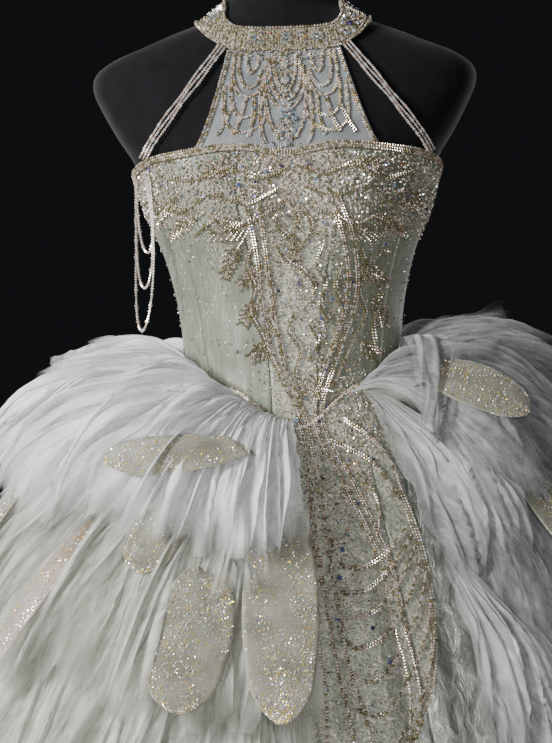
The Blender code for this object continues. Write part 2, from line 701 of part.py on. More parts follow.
def build_petals():
    """Leaf-shaped pieces of glitter net, sewn to a tier at the root and lying on its crests below."""
    for petal in PETALS:
        tier = next(t for t in TIERS if t.name == petal.tier)
        side = math.copysign(1, petal.root_angle)
        root = tier_point(tier, math.radians(petal.root_angle), petal.root_share)
        tip = tier_point(tier, math.radians(petal.tip_angle), petal.tip_share)
        fall = root.z - tip.z + math.hypot(tip.x, tip.y) - math.hypot(root.x, root.y)
        turn = math.radians(petal.tip_angle - petal.root_angle)
        slant = math.atan2(turn * (math.hypot(root.x, root.y) + math.hypot(tip.x, tip.y)) / 2, fall)
        share_long = (petal.tip_share - petal.root_share) / fall

        def point_at(across, up):
            t = (1 - up) ** PETAL_ROWS_CLOSER
            share = petal.root_share + (petal.tip_share - petal.root_share) * t
            angle = math.radians(petal.root_angle + (petal.tip_angle - petal.root_angle) * t)
            middle = tier_point(tier, angle, share)
            half = petal.width / 2 * (0.16 + 0.84 * math.sin(math.pi * min(1.0, 0.06 + 0.92 * t)) ** 0.75)
            beside = (2 * across - 1) * half
            angle += beside * math.cos(slant) / math.hypot(middle.x, middle.y)
            share -= beside * math.sin(slant) * share_long
            crest = tier.wave_depth * share**WAVE_GROWTH + TULLE_WALL + 2 * SEAM_GAP
            above = tier_point(tier, angle, share, crest)
            outwards = (above - tier_point(tier, angle, share)).normalized()
            sewn = on_tier(tier, side, angle, share) + outwards * (TULLE_WALL + PETAL_CLEAR)
            return sewn.lerp(above, min(1.0, t * 10))

        cloth(petal.name, point_at, PETAL_COLUMNS, PETAL_ROWS, PETAL_WALL, GLITTER_NET)


for old in list(bpy.data.objects):
    bpy.data.objects.remove(old, do_unlink=True)
gown = bpy.data.collections.new("beaded_ball_gown")
bpy.context.scene.collection.children.link(gown)
build_form()
build_collar()
build_yoke()
build_bodice()
build_buttons()
build_straps()
build_side_loops()
build_ropes()
build_skirt()
build_tiers()
build_petals()
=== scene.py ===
import math
from collections import namedtuple

import bpy
import numpy as np
from mathutils import Matrix, Vector


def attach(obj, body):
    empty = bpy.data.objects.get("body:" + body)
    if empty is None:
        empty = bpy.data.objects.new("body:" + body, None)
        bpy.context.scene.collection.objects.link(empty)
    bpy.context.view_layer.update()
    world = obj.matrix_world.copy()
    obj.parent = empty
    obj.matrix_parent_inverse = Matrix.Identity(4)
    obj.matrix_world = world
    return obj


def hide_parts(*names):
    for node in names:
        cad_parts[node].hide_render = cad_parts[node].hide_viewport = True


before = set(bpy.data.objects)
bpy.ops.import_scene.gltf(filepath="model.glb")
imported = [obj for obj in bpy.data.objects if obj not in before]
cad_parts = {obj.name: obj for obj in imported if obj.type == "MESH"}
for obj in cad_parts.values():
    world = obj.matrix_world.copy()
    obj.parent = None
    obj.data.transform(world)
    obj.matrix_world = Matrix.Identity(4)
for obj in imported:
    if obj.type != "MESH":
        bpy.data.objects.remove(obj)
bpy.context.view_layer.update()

scene = bpy.context.scene

# ---- The camera ----
# Level, straight in front and at the height of the waist, as the photograph was taken. It leans by
# a degree or two, which brings the gown's left shoulder up at the right of the picture.
VIEW_TALL = 0.8173  # metres that the picture's height shows at the gown's middle plane
VIEW_FROM = 2.3
CAMERA_AT = (-0.019, -VIEW_FROM, 1.053)
CAMERA_LEAN = math.radians(1.7)
SENSOR = 36

camera = bpy.data.objects.new("camera", bpy.data.cameras.new("camera"))
camera.data.sensor_fit = "VERTICAL"
camera.data.sensor_height = SENSOR
camera.data.lens = SENSOR * VIEW_FROM / VIEW_TALL
camera.matrix_world = (
    Matrix.Translation(CAMERA_AT)
    @ Matrix.Rotation(CAMERA_LEAN, 4, "Y")
    @ Matrix.Rotation(math.radians(90), 4, "X")
)
scene.collection.objects.link(camera)
scene.camera = camera

# ---- The studio ----
# A large soft lamp at the front left, weak ones in front and behind, dark paper all round and a
# plain pale floor.
Lamp = namedtuple("Lamp", "name place size watts")
LAMPS = [
    Lamp("key_left", (-2.15, -1.7, 2.0), 0.9, 130),
    Lamp("front", (0.2, -2.6, 1.1), 0.8, 24),
    Lamp("top", (-1.2, -0.4, 2.8), 1.0, 10),
    Lamp("back_left", (-1.8, 2.2, 2.0), 1.4, 40),
    Lamp("back_right", (2.0, 2.0, 1.8), 1.4, 30),
]
AIM = Vector((-0.05, 0, 1.12))


def linear(code):
    """An sRGB hex colour as a linear one."""
    parts = [int(code[i:i + 2], 16) / 255 for i in (1, 3, 5)]
    return (*[c / 12.92 if c < 0.04045 else ((c + 0.055) / 1.055) ** 2.4 for c in parts], 1)


def feed(node, links):
    """Sets a node's inputs to values, or links them. A node alone lends its factor or its first output."""
    for name, value in links.items():
        if isinstance(value, bpy.types.Node):
            value = value.outputs.get("Fac") or next(output for output in value.outputs if output.enabled)
        if isinstance(value, bpy.types.NodeSocket):
            node.id_data.links.new(value, node.inputs[name])
        else:
            node.inputs[name].default_value = value


def add_node(tree, kind, links=None, stops=None, **settings):
    """Adds a node with its settings, inputs and colour stops. A kind without Node in it is a shader's."""
    node = tree.nodes.new(kind if "Node" in kind else "ShaderNode" + kind)
    for name, value in settings.items():
        setattr(node, name, value)
    feed(node, links or {})
    if stops:
        elements = node.color_ramp.elements
        while len(elements) < len(stops):
            elements.new(0.5)
        for element, (place, code) in zip(elements, stops):
            element.position = place
            element.color = linear(code)
    return node


def new_material(name, colour, roughness, **sockets):
    """A material with one shader, whose plain values are set on its own sockets, and the object's places."""
    made = bpy.data.materials.new(name)
    made.use_nodes = True
    shader = made.node_tree.nodes["Principled BSDF"]
    shader.inputs["Base Color"].default_value = linear(colour)
    shader.inputs["Roughness"].default_value = roughness
    for socket, value in sockets.items():
        shader.inputs[socket.replace("_", " ").title()].default_value = value
    return made, made.node_tree, shader, add_node(made.node_tree, "TexCoord").outputs["Object"]


for lamp in LAMPS:
    light = bpy.data.lights.new(lamp.name, "AREA")
    light.shape = "DISK"
    light.size = lamp.size
    light.energy = lamp.watts
    stand = bpy.data.objects.new(lamp.name, light)
    stand.location = lamp.place
    stand.rotation_euler = (AIM - Vector(lamp.place)).to_track_quat("-Z", "Y").to_euler()
    scene.collection.objects.link(stand)
world = bpy.data.worlds.new("dark_paper")
world.use_nodes = True
world.node_tree.nodes["Background"].inputs["Color"].default_value = linear("#1C1D20")
world.node_tree.nodes["Background"].inputs["Strength"].default_value = 0.6
scene.world = world
floor_mesh = bpy.data.meshes.new("floor")
floor_mesh.from_pydata([(-2, -2, 0), (2, -2, 0), (2, 2, 0), (-2, 2, 0)], [], [(0, 1, 2, 3)])
floor = bpy.data.objects.new("floor", floor_mesh)
scene.collection.objects.link(floor)
pale_paint, tree, shader, where = new_material("pale_floor_paint", "#B9B8B4", 0.8)
tint = add_node(tree, "TexNoise", {"Vector": where, "Scale": 3.0, "Detail": 2.0})
shade = add_node(tree, "ValToRGB", {"Fac": tint}, [(0.3, "#B4B3AF"), (0.7, "#BEBDB9")])
feed(shader, {"Base Color": shade})
floor_mesh.materials.append(pale_paint)

# ---- The dress form ----
# A padded torso under black cotton jersey, with a neck and no limbs. A steel pole holds it up from
# a round steel base with a raised boss.
EASE = 0.0006
FORM_SLIM = 0.0018
FORM_BUST = 0.8
BUST_HEIGHT, BUST_OUT, BUST_APART, BUST_WIDE, BUST_TALL = 1.226, 0.024, 0.078, 0.052, 0.048
CHEST_RADIUS = 0.2
FORM_RINGS = np.array([  # height, half width, front, back, power
    (0.800, 0.172, 0.110, 0.130, 2.2), (0.860, 0.170, 0.109, 0.128, 2.2), (0.920, 0.158, 0.103, 0.117, 2.2),
    (0.980, 0.134, 0.095, 0.098, 2.2), (1.049, 0.115, 0.087, 0.080, 2.2), (1.082, 0.1175, 0.088, 0.082, 2.2),
    (1.115, 0.1205, 0.090, 0.086, 2.2), (1.148, 0.1265, 0.093, 0.092, 2.2),
    (1.181, 0.1355, 0.097, 0.099, 2.2), (1.214, 0.1485, 0.101, 0.106, 2.2), (1.245, 0.159, 0.103, 0.111, 2.3),
    (1.280, 0.167, 0.100, 0.115, 2.4), (1.313, 0.187, 0.094, 0.116, 2.5), (1.343, 0.203, 0.087, 0.115, 2.5),
    (1.366, 0.212, 0.081, 0.113, 2.5), (1.384, 0.208, 0.076, 0.110, 2.5), (1.398, 0.190, 0.072, 0.106, 2.4),
    (1.410, 0.162, 0.069, 0.101, 2.3), (1.423, 0.129, 0.066, 0.094, 2.2), (1.436, 0.093, 0.063, 0.085, 2.1),
    (1.448, 0.073, 0.060, 0.077, 2.0), (1.464, 0.060, 0.057, 0.068, 2.0), (1.485, 0.055, 0.054, 0.060, 2.0),
    (1.540, 0.053, 0.051, 0.055, 2.0), (1.552, 0.047, 0.045, 0.049, 2.0), (1.556, 0.036, 0.034, 0.038, 2.0),
])
POLE_RADIUS, BASE_RADIUS, BASE_TOP, BASE_RIM, BOSS_RADIUS = 0.014, 0.200, 0.020, 0.007, 0.030
WELT = 0.0009  # how far the jersey's seams stand out


def through(places, values, at):
    """Values between the rows of a table, on one smooth curve through all of them."""
    places = np.asarray(places, float)
    values = np.asarray(values, float)
    at = np.clip(np.asarray(at, float), places[0], places[-1])
    after = np.minimum(np.arange(len(places)) + 1, len(places) - 1)
    before = np.maximum(np.arange(len(places)) - 1, 0)
    gap = places[after] - places[before]
    slopes = (values[after] - values[before]) / (gap if values.ndim == 1 else gap[:, None])
    low = np.clip(np.searchsorted(places, at, side="right") - 1, 0, len(places) - 2)
    span = places[low + 1] - places[low]
    t = (at - places[low]) / span
    pick = (lambda table, row: table[row]) if values.ndim == 1 else (
        lambda table, row: table[row, np.arange(len(at))])
    start, end = pick(slopes, low) * span, pick(slopes, low + 1) * span
    first = pick(values, low)
    rise = pick(values, low + 1) - first
    return first + t * (start + t * (3 * rise - 2 * start - end + t * (start + end - 2 * rise)))


def ring_radius(rings, angle, height):
    """How far out a body of rings reaches, in a direction and at a height."""
    half_width, front, back, power = [through(rings[:, 0], rings[:, c], height) for c in (1, 2, 3, 4)]
    depth = np.where(np.cos(angle) > 0, front, back)
    reach = (abs(np.sin(angle)) / half_width) ** power + (abs(np.cos(angle)) / depth) ** power
    return reach ** (-1 / power)


def form_point(angle, height, cups=1.0):
    """The line that the gown is cut to, in a direction and at a height."""
    radius = ring_radius(FORM_RINGS, angle, height)
    x = radius * np.sin(angle)
    beside = np.exp(-(((abs(x) - BUST_APART) / BUST_WIDE) ** 2))
    above = np.exp(-(((height - BUST_HEIGHT) / BUST_TALL) ** 2))
    bust = BUST_OUT * beside * above * np.maximum(0, np.cos(angle))
    return np.stack([x, -radius * np.cos(angle) - cups * bust, height + 0 * angle], axis=-1)


def torso_point(angle, height):
    """The form's own surface, whose bust is a little flatter than the gown's."""
    return form_point(angle, height, FORM_BUST)


def normal_at(surface, angle, height):
    """Which way a surface faces."""
    step = 1e-4
    across = surface(angle + step, height) - surface(angle - step, height)
    up = surface(angle, height + step) - surface(angle, height - step)
    normal = np.cross(across, up)
    return normal / np.linalg.norm(normal, axis=-1, keepdims=True)


def lifted(surface, angle, height, out):
    """Points on a surface, moved out along its normal."""
    out = np.asarray(out, float)
    return surface(angle, height) + normal_at(surface, angle, height) * (out[..., None] if out.ndim else out)


def finish_object(name, mesh, material, nodes):
    """Puts a mesh in the scene, on the gown's body, in the place of the CAD nodes that it stands for."""
    made = bpy.data.objects.new(name, mesh)
    scene.collection.objects.link(made)
    if material:
        mesh.materials.append(material)
    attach(made, "root")
    if nodes:
        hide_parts(*([nodes] if isinstance(nodes, str) else nodes))
    return made


def grid_mesh(name, points, columns, rows, closed=False, **marks):
    """A mesh of one or more grids of points, in rows from left to right. Marks become its attributes."""
    mesh = bpy.data.meshes.new(name)
    wide = columns if closed else columns + 1
    i, j = np.meshgrid(np.arange(columns), np.arange(rows))
    after = (i + 1) % wide
    faces = np.stack([j * wide + i, j * wide + after, (j + 1) * wide + after, (j + 1) * wide + i],
                     axis=-1).reshape(-1, 4)
    sheets = np.arange(points.size // 3 // (wide * (rows + 1)))
    faces = faces + (sheets * wide * (rows + 1))[:, None, None]
    mesh.from_pydata(points.reshape(-1, 3).tolist(), [], faces.reshape(-1, 4).tolist())
    for mark, values in marks.items():
        attribute = mesh.attributes.new(mark, "FLOAT", "POINT")
        attribute.data.foreach_set("value", np.asarray(values, np.float32).ravel())
    mesh.shade_smooth()
    return mesh


def grid_of(columns, rows):
    """Two arrays, across and up, each from 0 to 1, for a grid's points."""
    up, across = np.meshgrid(np.linspace(0, 1, rows + 1), np.linspace(0, 1, columns + 1), indexing="ij")
    return across.ravel(), up.ravel()


def walled(made, thickness):
    """Gives a sheet its wall, on the outside."""
    wall = made.modifiers.new("Wall", "SOLIDIFY")
    wall.thickness = thickness
    wall.offset = 1
    return made


# Cotton jersey is knitted, matt and slightly furry. Its 1 mm ribs are drawn at 2 mm, so that they show.
jersey, tree, shader, where = new_material("black_cotton_jersey", "#0C0C0F", 0.88, sheen_weight=0.06,
                                           sheen_roughness=0.5)
shader.inputs["Specular IOR Level"].default_value = 0.2
rib = add_node(tree, "TexWave", {"Vector": where, "Scale": 160.0, "Distortion": 1.0, "Detail": 1.0},
               bands_direction="X")
lint = add_node(tree, "TexNoise", {"Vector": where, "Scale": 70.0, "Detail": 5.0})
shade = add_node(tree, "ValToRGB", {"Fac": lint}, [(0.35, "#07070A"), (0.75, "#0F0F14")])
feed(shader, {"Base Color": shade})
relief = add_node(tree, "Bump", {"Height": rib, "Strength": 0.25, "Distance": 0.0003})
feed(shader, {"Normal": relief})

turns = 120
steps = zip(FORM_RINGS[:-1, 0], FORM_RINGS[1:, 0])
heights = np.concatenate([np.linspace(low, high, 4)[:-1] for low, high in steps] + [FORM_RINGS[-1:, 0]])
angles = np.arange(turns) * 2 * math.pi / turns
around, tall = np.meshgrid(angles, heights)
welts = sum(np.exp(-(((around - seam + math.pi) % (2 * math.pi) - math.pi) / 0.012) ** 2)
            for seam in np.radians([0, 78, 180, 282]))
under_gown = np.clip((tall - 1.30) / 0.03, 0, 1)
skin = lifted(torso_point, around.ravel(), tall.ravel(), (-FORM_SLIM + WELT * welts * under_gown).ravel())
mesh = grid_mesh("form_jersey_cover", skin, turns, len(heights) - 1, closed=True)
ends = bpy.data.meshes.new("ends")
points = [tuple(p) for p in skin]
faces = [tuple(p.vertices) for p in mesh.polygons]
top = (len(heights) - 1) * turns
for inset, drop in ((0.7, 0.0012), (0.3, 0.0018)):
    ring = skin[top:] * (inset, inset, 1) + (0, 0, drop)
    low = len(points) - turns
    points += [tuple(p) for p in ring]
    faces += [(low + i, low + (i + 1) % turns, low + turns + (i + 1) % turns, low + turns + i)
              for i in range(turns)]
faces += [tuple(range(len(points) - turns, len(points))), tuple(reversed(range(turns)))]
ends.from_pydata(points, [], faces)
ends.shade_smooth()
finish_object("form_jersey_cover", ends, jersey, "form_torso")

# Powder coat is sprayed on and baked: an even, finely grained satin black.
coat, tree, shader, where = new_material("black_powder_coat", "#17171A", 0.42, metallic=0.6)
grain = add_node(tree, "TexNoise", {"Vector": where, "Scale": 900.0, "Detail": 2.0})
relief = add_node(tree, "Bump", {"Height": grain, "Strength": 0.2, "Distance": 0.0002})
wear = add_node(tree, "MapRange", {"Value": grain, "To Min": 0.36, "To Max": 0.5})
feed(shader, {"Normal": relief, "Roughness": wear})


def turned(name, profile, segments):
    """A closed shape turned about Z from (radius, height) points that run from top to underside."""
    inner = [(r, z) for r, z in profile if r > 0]
    points, faces = [], []
    for r, z in inner:
        turn = np.arange(segments) * 2 * math.pi / segments
        points += [(r * math.cos(a), r * math.sin(a), z) for a in turn]
    for j in range(len(inner) - 1):
        for i in range(segments):
            after = (i + 1) % segments
            a, b = j * segments, (j + 1) * segments
            faces.append((a + i, b + i, b + after, a + after))
    faces.append(tuple(range(segments)))
    faces.append(tuple(reversed(range(len(points) - segments, len(points)))))
    made = bpy.data.meshes.new(name)
    made.from_pydata(points, [], faces)
    made.shade_smooth()
    return made


base = turned("form_base_plate", [
    (BOSS_RADIUS * 0.86, BASE_TOP), (BOSS_RADIUS * 0.96, BASE_TOP - 0.0006), (BOSS_RADIUS, BASE_TOP - 0.003),
    (BOSS_RADIUS * 1.06, BASE_TOP * 0.72), (BOSS_RADIUS * 1.2, BASE_TOP * 0.65), (BOSS_RADIUS * 1.6, 0.0112),
    (BASE_RADIUS * 0.5, 0.0103), (BASE_RADIUS * 0.9, BASE_RIM + 0.002), (BASE_RADIUS - 0.003, BASE_RIM),
    (BASE_RADIUS - 0.0008, BASE_RIM - 0.0012), (BASE_RADIUS, BASE_RIM - 0.003), (BASE_RADIUS, 0.0008),
    (BASE_RADIUS - 0.0008, 0)], 96)
finish_object("form_base_plate", base, coat, "form_base")
head = FORM_RINGS[0, 0] - 0.0006
pole = turned("form_pole_tube", [
    (POLE_RADIUS - 0.001, head), (POLE_RADIUS, head - 0.001), (POLE_RADIUS, BASE_TOP + 0.0013),
    (POLE_RADIUS - 0.001, BASE_TOP + 0.0003)], 48)
finish_object("form_pole_tube", pole, coat, "form_pole")

# ---- The beading's parts ----
# Seed beads, bugles, sequins and faceted stones are threaded or sewn on one at a time. Each is set
# on its own point, which says how large it is, which way it faces and what colour it has.
Work = namedtuple("Work", "place facing along size tint")


def beading_tree(name, kind, sizes):
    """Nodes that set one small shape on every point of a mesh, turned and sized by the point's marks."""
    tree = bpy.data.node_groups.new(name, "GeometryNodeTree")
    tree.interface.new_socket("Geometry", in_out="OUTPUT", socket_type="NodeSocketGeometry")
    wanted = (("Points", "Geometry"), ("Bead Width", "Float"), ("Bead Length", "Float"),
              ("Bead Height", "Float"), ("Finish", "Material"))
    sockets = [tree.interface.new_socket(word, in_out="INPUT", socket_type="NodeSocket" + kind_of)
               for word, kind_of in wanted]
    given = add_node(tree, "NodeGroupInput")
    marks = {mark: add_node(tree, "GeometryNodeInputNamedAttribute", {"Name": mark}, data_type=kind_of)
             for mark, kind_of in (("size", "FLOAT"), ("facing", "FLOAT_VECTOR"), ("along", "FLOAT_VECTOR"))}
    shape = add_node(tree, kind, sizes)
    facing = add_node(tree, "FunctionNodeAlignRotationToVector", {"Vector": marks["facing"]}, axis="Z")
    turned_to = add_node(tree, "FunctionNodeAlignRotationToVector",
                         {"Rotation": facing, "Vector": marks["along"]}, axis="X", pivot_axis="Z")
    ratio = add_node(tree, "CombineXYZ",
                     {"X": given.outputs["Bead Length"], "Y": given.outputs["Bead Width"],
                      "Z": given.outputs["Bead Height"]})
    scale = add_node(tree, "VectorMath", {0: ratio, "Scale": marks["size"]}, operation="SCALE")
    put = add_node(tree, "GeometryNodeInstanceOnPoints",
                   {"Points": given.outputs["Points"], "Instance": shape, "Rotation": turned_to,
                    "Scale": scale})
    real = add_node(tree, "GeometryNodeRealizeInstances", {"Geometry": put})
    flat = add_node(tree, "GeometryNodeSetShadeSmooth", {"Geometry": real, "Shade Smooth": False})
    named = add_node(tree, "GeometryNodeSetMaterial", {"Geometry": flat, "Material": given.outputs["Finish"]})
    add_node(tree, "NodeGroupOutput", {"Geometry": named})
    return tree, [socket.identifier for socket in sockets[1:]]


SEED = beading_tree("cut_seed_beads", "GeometryNodeMeshIcoSphere", {"Radius": 0.5, "Subdivisions": 1})
CUT_BEAD = beading_tree("two_cut_beads", "GeometryNodeMeshUVSphere",
                        {"Radius": 0.5, "Segments": 4, "Rings": 2})
STONE = beading_tree("faceted_stones", "GeometryNodeMeshCone", {
    "Vertices": 8, "Radius Top": 0.29, "Radius Bottom": 0.5, "Depth": 0.36})
SEQUIN = beading_tree("sequins", "GeometryNodeMeshCone", {
    "Vertices": 3, "Radius Top": 0.36, "Radius Bottom": 0.5, "Depth": 0.08})


def sewn(name, kind, work, material, shape=(1.0, 1.0, 1.0), nodes=None):
    """Makes one piece of all the beads of some work. Shape is their width, length and height."""
    points = bpy.data.meshes.new(name + "_points")
    points.from_pydata(work.place.tolist(), [], [])
    for mark, kind_of, field in (("size", "FLOAT", "value"), ("tint", "FLOAT", "value"),
                                 ("facing", "FLOAT_VECTOR", "vector"), ("along", "FLOAT_VECTOR", "vector")):
        values = np.ascontiguousarray(getattr(work, mark), np.float32).ravel()
        points.attributes.new(mark, kind_of, "POINT").data.foreach_set(field, values)
    holder = bpy.data.objects.new(name + "_points", points)
    scene.collection.objects.link(holder)
    modifier = holder.modifiers.new("Beads", "NODES")
    modifier.node_group = kind[0]
    for identifier, value in zip(kind[1], (*shape, material)):
        modifier[identifier] = value
    graph = bpy.context.evaluated_depsgraph_get()
    mesh = bpy.data.meshes.new_from_object(holder.evaluated_get(graph), preserve_all_data_layers=True,
                                           depsgraph=graph)
    bpy.data.objects.remove(holder, do_unlink=True)
    mesh.name = name
    for mark in ("size", "facing", "along"):
        mesh.attributes.remove(mesh.attributes[mark])
    finish_object(name, mesh, None, nodes)


def passed_along(points):
    """How far along a line each of its points lies."""
    return np.concatenate([[0], np.cumsum(np.linalg.norm(np.diff(points, axis=0), axis=1))])


def between(at, passed, values):
    """Rows of values, read between the places along a line where they are known."""
    return np.stack([np.interp(at, passed, values[:, c]) for c in range(values.shape[1])], axis=-1)


def evenly(points, pitch):
    """Points at one pitch along a line, and the line's direction at each."""
    points = np.asarray(points, float)
    passed = passed_along(points)
    count = max(2, int(round(passed[-1] / pitch)))
    at = (np.arange(count) + 0.5) * passed[-1] / count
    along = between(at + pitch / 2, passed, points) - between(at - pitch / 2, passed, points)
    return between(at, passed, points), along / np.maximum(1e-9, np.linalg.norm(along, axis=1, keepdims=True))


def curve_through(knots, count=40):
    """A smooth line through given points."""
    knots = np.asarray(knots, float)
    passed = passed_along(knots)
    at = np.linspace(0, passed[-1], count)
    return np.stack([through(passed, knots[:, c], at) for c in range(knots.shape[1])], axis=-1)


def joined(works):
    """Several pieces of work as one."""
    return Work(*[np.concatenate([np.asarray(part[i], float) for part in works]) for i in range(5)])


def cut_finish(name, colour, roughness, stops, flaws, gloss, **sockets):
    """A shining material. Each piece picks its colour by its tint, and flaws make the gloss uneven."""
    made, tree, shader, where = new_material(name, colour, roughness, **sockets)
    tint = add_node(tree, "Attribute", attribute_name="tint")
    shade = add_node(tree, "ValToRGB", {"Fac": tint}, stops)
    shade.color_ramp.interpolation = "CONSTANT"
    flaw = add_node(tree, "TexNoise", {"Vector": where, **flaws})
    feed(shader, {"Base Color": shade, "Roughness": add_node(tree, "MapRange", {"Value": flaw, **gloss})})
    return made


# Cut glass seed beads with a silver lining and a rainbow coat: champagne, silver, rose and old gold,
# with a few that flash blue, green, orange or violet. Their small flat faces glint one at a time.
beads = cut_finish(
    "silver_lined_glass_beads", "#CFC4B4", 0.22, metallic=0.6, coat_weight=0.6, coat_roughness=0.08, stops=[
        (0.0, "#C9BDAC"), (0.16, "#EBDFD4"), (0.34, "#938A66"), (0.46, "#DCC3B6"), (0.62, "#87805A"),
        (0.72, "#ECE9E4"), (0.85, "#A08A60"), (0.91, "#D9B468"), (0.94, "#93B4D0"), (0.965, "#D0805C"),
        (0.98, "#5F60AE"), (0.99, "#86C2A4")],
    flaws={"Scale": 700.0, "Detail": 0.0},
    gloss={"From Min": 0.3, "From Max": 0.7, "To Min": 0.12, "To Max": 0.36})

# Foiled crystal: lead glass with a mirror behind it and a thin rainbow coat. It is pale blue, clear or
# violet, with sharp bright facets.
crystal = cut_finish(
    "foiled_crystal", "#BFD2DC", 0.06, metallic=0.7, coat_weight=1.0, stops=[
        (0.0, "#DDE6EA"), (0.3, "#A9C6DA"), (0.5, "#F2EEF0"), (0.66, "#8C93CC"), (0.78, "#C9E2DC"),
        (0.9, "#5A4F86")],
    flaws={"Scale": 400.0, "Detail": 1.0}, gloss={"To Min": 0.03, "To Max": 0.14})

# ---- The collar ----
# A stiff stand band of buckram covered in net, beaded all over and piped with a row of larger beads
# along both edges. It closes behind with one covered button.
COLLAR_WALL, COLLAR_TALL = 0.0022, 0.026
COLLAR_FOOT = np.array([  # degrees from the centre front, height
    (0, 1.394), (38, 1.397), (50, 1.408), (62, 1.4235), (76, 1.4325), (95, 1.4365), (180, 1.444)])
SEAM_GAP = 0.0003
chance = np.random.default_rng(7)


def collar_foot(angle):
    """The height of the collar's lower edge."""
    return through(COLLAR_FOOT[:, 0], COLLAR_FOOT[:, 1], abs(np.degrees(angle)))


def strung(place, facing, along, size, tints, least=0.85, most=1.15):
    """The beads of a string: a little larger and smaller by chance, with tints from a range."""
    count = len(place)
    return Work(place, facing, along, size * chance.uniform(least, most, count),
                chance.uniform(*tints, count))


def laid(place, facing, sizes, tints):
    """Beads or stones that lie flat, turned any way."""
    return Work(place, facing, np.roll(facing, 1, axis=1), sizes, tints)


def loose(place, facing, least, most):
    """Beads of any tint, sewn on one by one."""
    count = len(place)
    return laid(place, facing, chance.uniform(least, most, count), chance.uniform(0, 1, count))


def collar_place(angle, up, out):
    """Places on the collar, from 0 at its foot to 1 at its upper edge, and which way it faces there."""
    height = collar_foot(angle) + up * COLLAR_TALL
    return lifted(form_point, angle, height, EASE + out), normal_at(form_point, angle, height)


# Net worked closely with thread and tiny beads. They are drawn as 2 mm grains of several tones, closer
# in some places than in others.
def beaded_finish(name, colour, metal, sheen, grain, cloudy, stops, strength, deep):
    made, tree, shader, where = new_material(name, colour, 0.42, metallic=metal, sheen_weight=sheen)
    grains = add_node(tree, "TexVoronoi", {"Vector": where, "Scale": grain})
    cloud = add_node(tree, "TexNoise", {"Vector": where, "Scale": cloudy[0], "Detail": cloudy[1]})
    tone = add_node(tree, "SeparateColor", {"Color": grains.outputs["Color"]})
    mixed = add_node(tree, "Math", {0: tone.outputs["Red"], 1: cloud}, operation="MULTIPLY")
    shade = add_node(tree, "ValToRGB", {"Fac": mixed}, stops)
    relief = add_node(tree, "Bump", {"Height": grains, "Strength": strength, "Distance": deep}, invert=True)
    feed(shader, {"Base Color": shade, "Normal": relief})
    return made


beaded_net = beaded_finish(
    "beaded_net", "#9A957E", metal=0.25, sheen=0.1, grain=480.0, cloudy=(45.0, 3.0), strength=0.7, deep=0.0012,
    stops=[(0.0, "#5C5745"), (0.22, "#7C775F"), (0.4, "#A09A82"), (0.58, "#CFC5B4")])

BAND_COLUMNS, BAND_ROWS = 260, 8
across, up = grid_of(BAND_COLUMNS, BAND_ROWS)
half_gap = SEAM_GAP / 2 / 0.08
angle = -math.pi + half_gap + across * 2 * (math.pi - half_gap)
mesh = grid_mesh("collar_band", collar_place(angle, up, 0)[0], BAND_COLUMNS, BAND_ROWS)
band = walled(finish_object("collar_band", mesh, beaded_net, "collar"), COLLAR_WALL * 0.8)


def ring_of_beads(up, out, size, pitch):
    """A row of beads right round the collar."""
    angle = np.linspace(-math.pi + 0.02, math.pi - 0.02, 400)
    place, _ = collar_place(angle, up + 0 * angle, out)
    place, along = evenly(place, pitch)
    angle = np.interp((np.arange(len(place)) + 0.5) / len(place), np.linspace(0, 1, 400), angle)
    facing = normal_at(form_point, angle, collar_foot(angle) + up * COLLAR_TALL)
    return strung(place, facing, along, size, (0, 0.84), 0.9, 1.1)


rows = [ring_of_beads(0.03, 0.0026, 0.0032, 0.0032), ring_of_beads(0.97, 0.0026, 0.0032, 0.0032),
        ring_of_beads(0.14, 0.0023, 0.0022, 0.0024), ring_of_beads(0.86, 0.0023, 0.0022, 0.0024)]
across, up = grid_of(150, 7)
up = 0.22 + 0.56 * up
angle = -math.pi + 0.03 + across * 2 * (math.pi - 0.03) + chance.normal(0, 0.006, len(across))
up += 0.035 * np.sin(across * 90) + chance.normal(0, 0.02, len(up))
rows.append(loose(*collar_place(angle, up, 0.0024), 0.0018, 0.0034))
sewn("collar_beads", CUT_BEAD, joined(rows), beads)

# ---- The bodice ----
# Seven panels of ivory satin under fine net, boned along their seams and middles, cut to a point at
# the waist. The centre panel is beaded net. The top edge is bound with three rows of beads.
BODICE_WALL, SKIRT_WALL = 0.0016, 0.0012
WAIST_HEIGHT, POINT_DROP, POINT_SPREAD = 1.043, 0.052, 30
TRIM_TALL, TRIM_CLEAR, TRIM_THICK = 0.007, 0.0019, 0.003
BONE_HIGH, BONE_WIDE = 0.0008, 0.0032
BODICE_SEAMS = np.array([  # height, then the degrees of the princess, side front and side back seams
    (0.980, 14, 55, 106), (1.045, 16, 57, 107), (1.140, 21, 60, 109), (1.230, 29, 64, 112),
    (1.300, 27, 66, 114)])
BODICE_TOP = np.array([  # degrees from the centre front, height
    (0, 1.285), (28, 1.293), (52, 1.290), (68, 1.286), (90, 1.270), (120, 1.246), (180, 1.222)])
Panel = namedtuple("Panel", "name left left_side right right_side bones")
PANELS = [
    Panel("bodice_back_left", 4, -1, 3, -1, (0.06, 0.5, 0.95)),
    Panel("bodice_side_left", 3, -1, 2, -1, (0.05, 0.36, 0.66, 0.95)),
    Panel("bodice_side_front_left", 2, -1, 1, -1, (0.05, 0.30, 0.62, 0.96)),
    Panel("bodice_centre_front", 1, -1, 1, 1, (0.04, 0.96)),
    Panel("bodice_side_front_right", 1, 1, 2, 1, (0.04, 0.38, 0.70, 0.95)),
    Panel("bodice_side_right", 2, 1, 3, 1, (0.05, 0.34, 0.64, 0.95)),
    Panel("bodice_back_right", 3, 1, 4, 1, (0.05, 0.5, 0.94)),
]


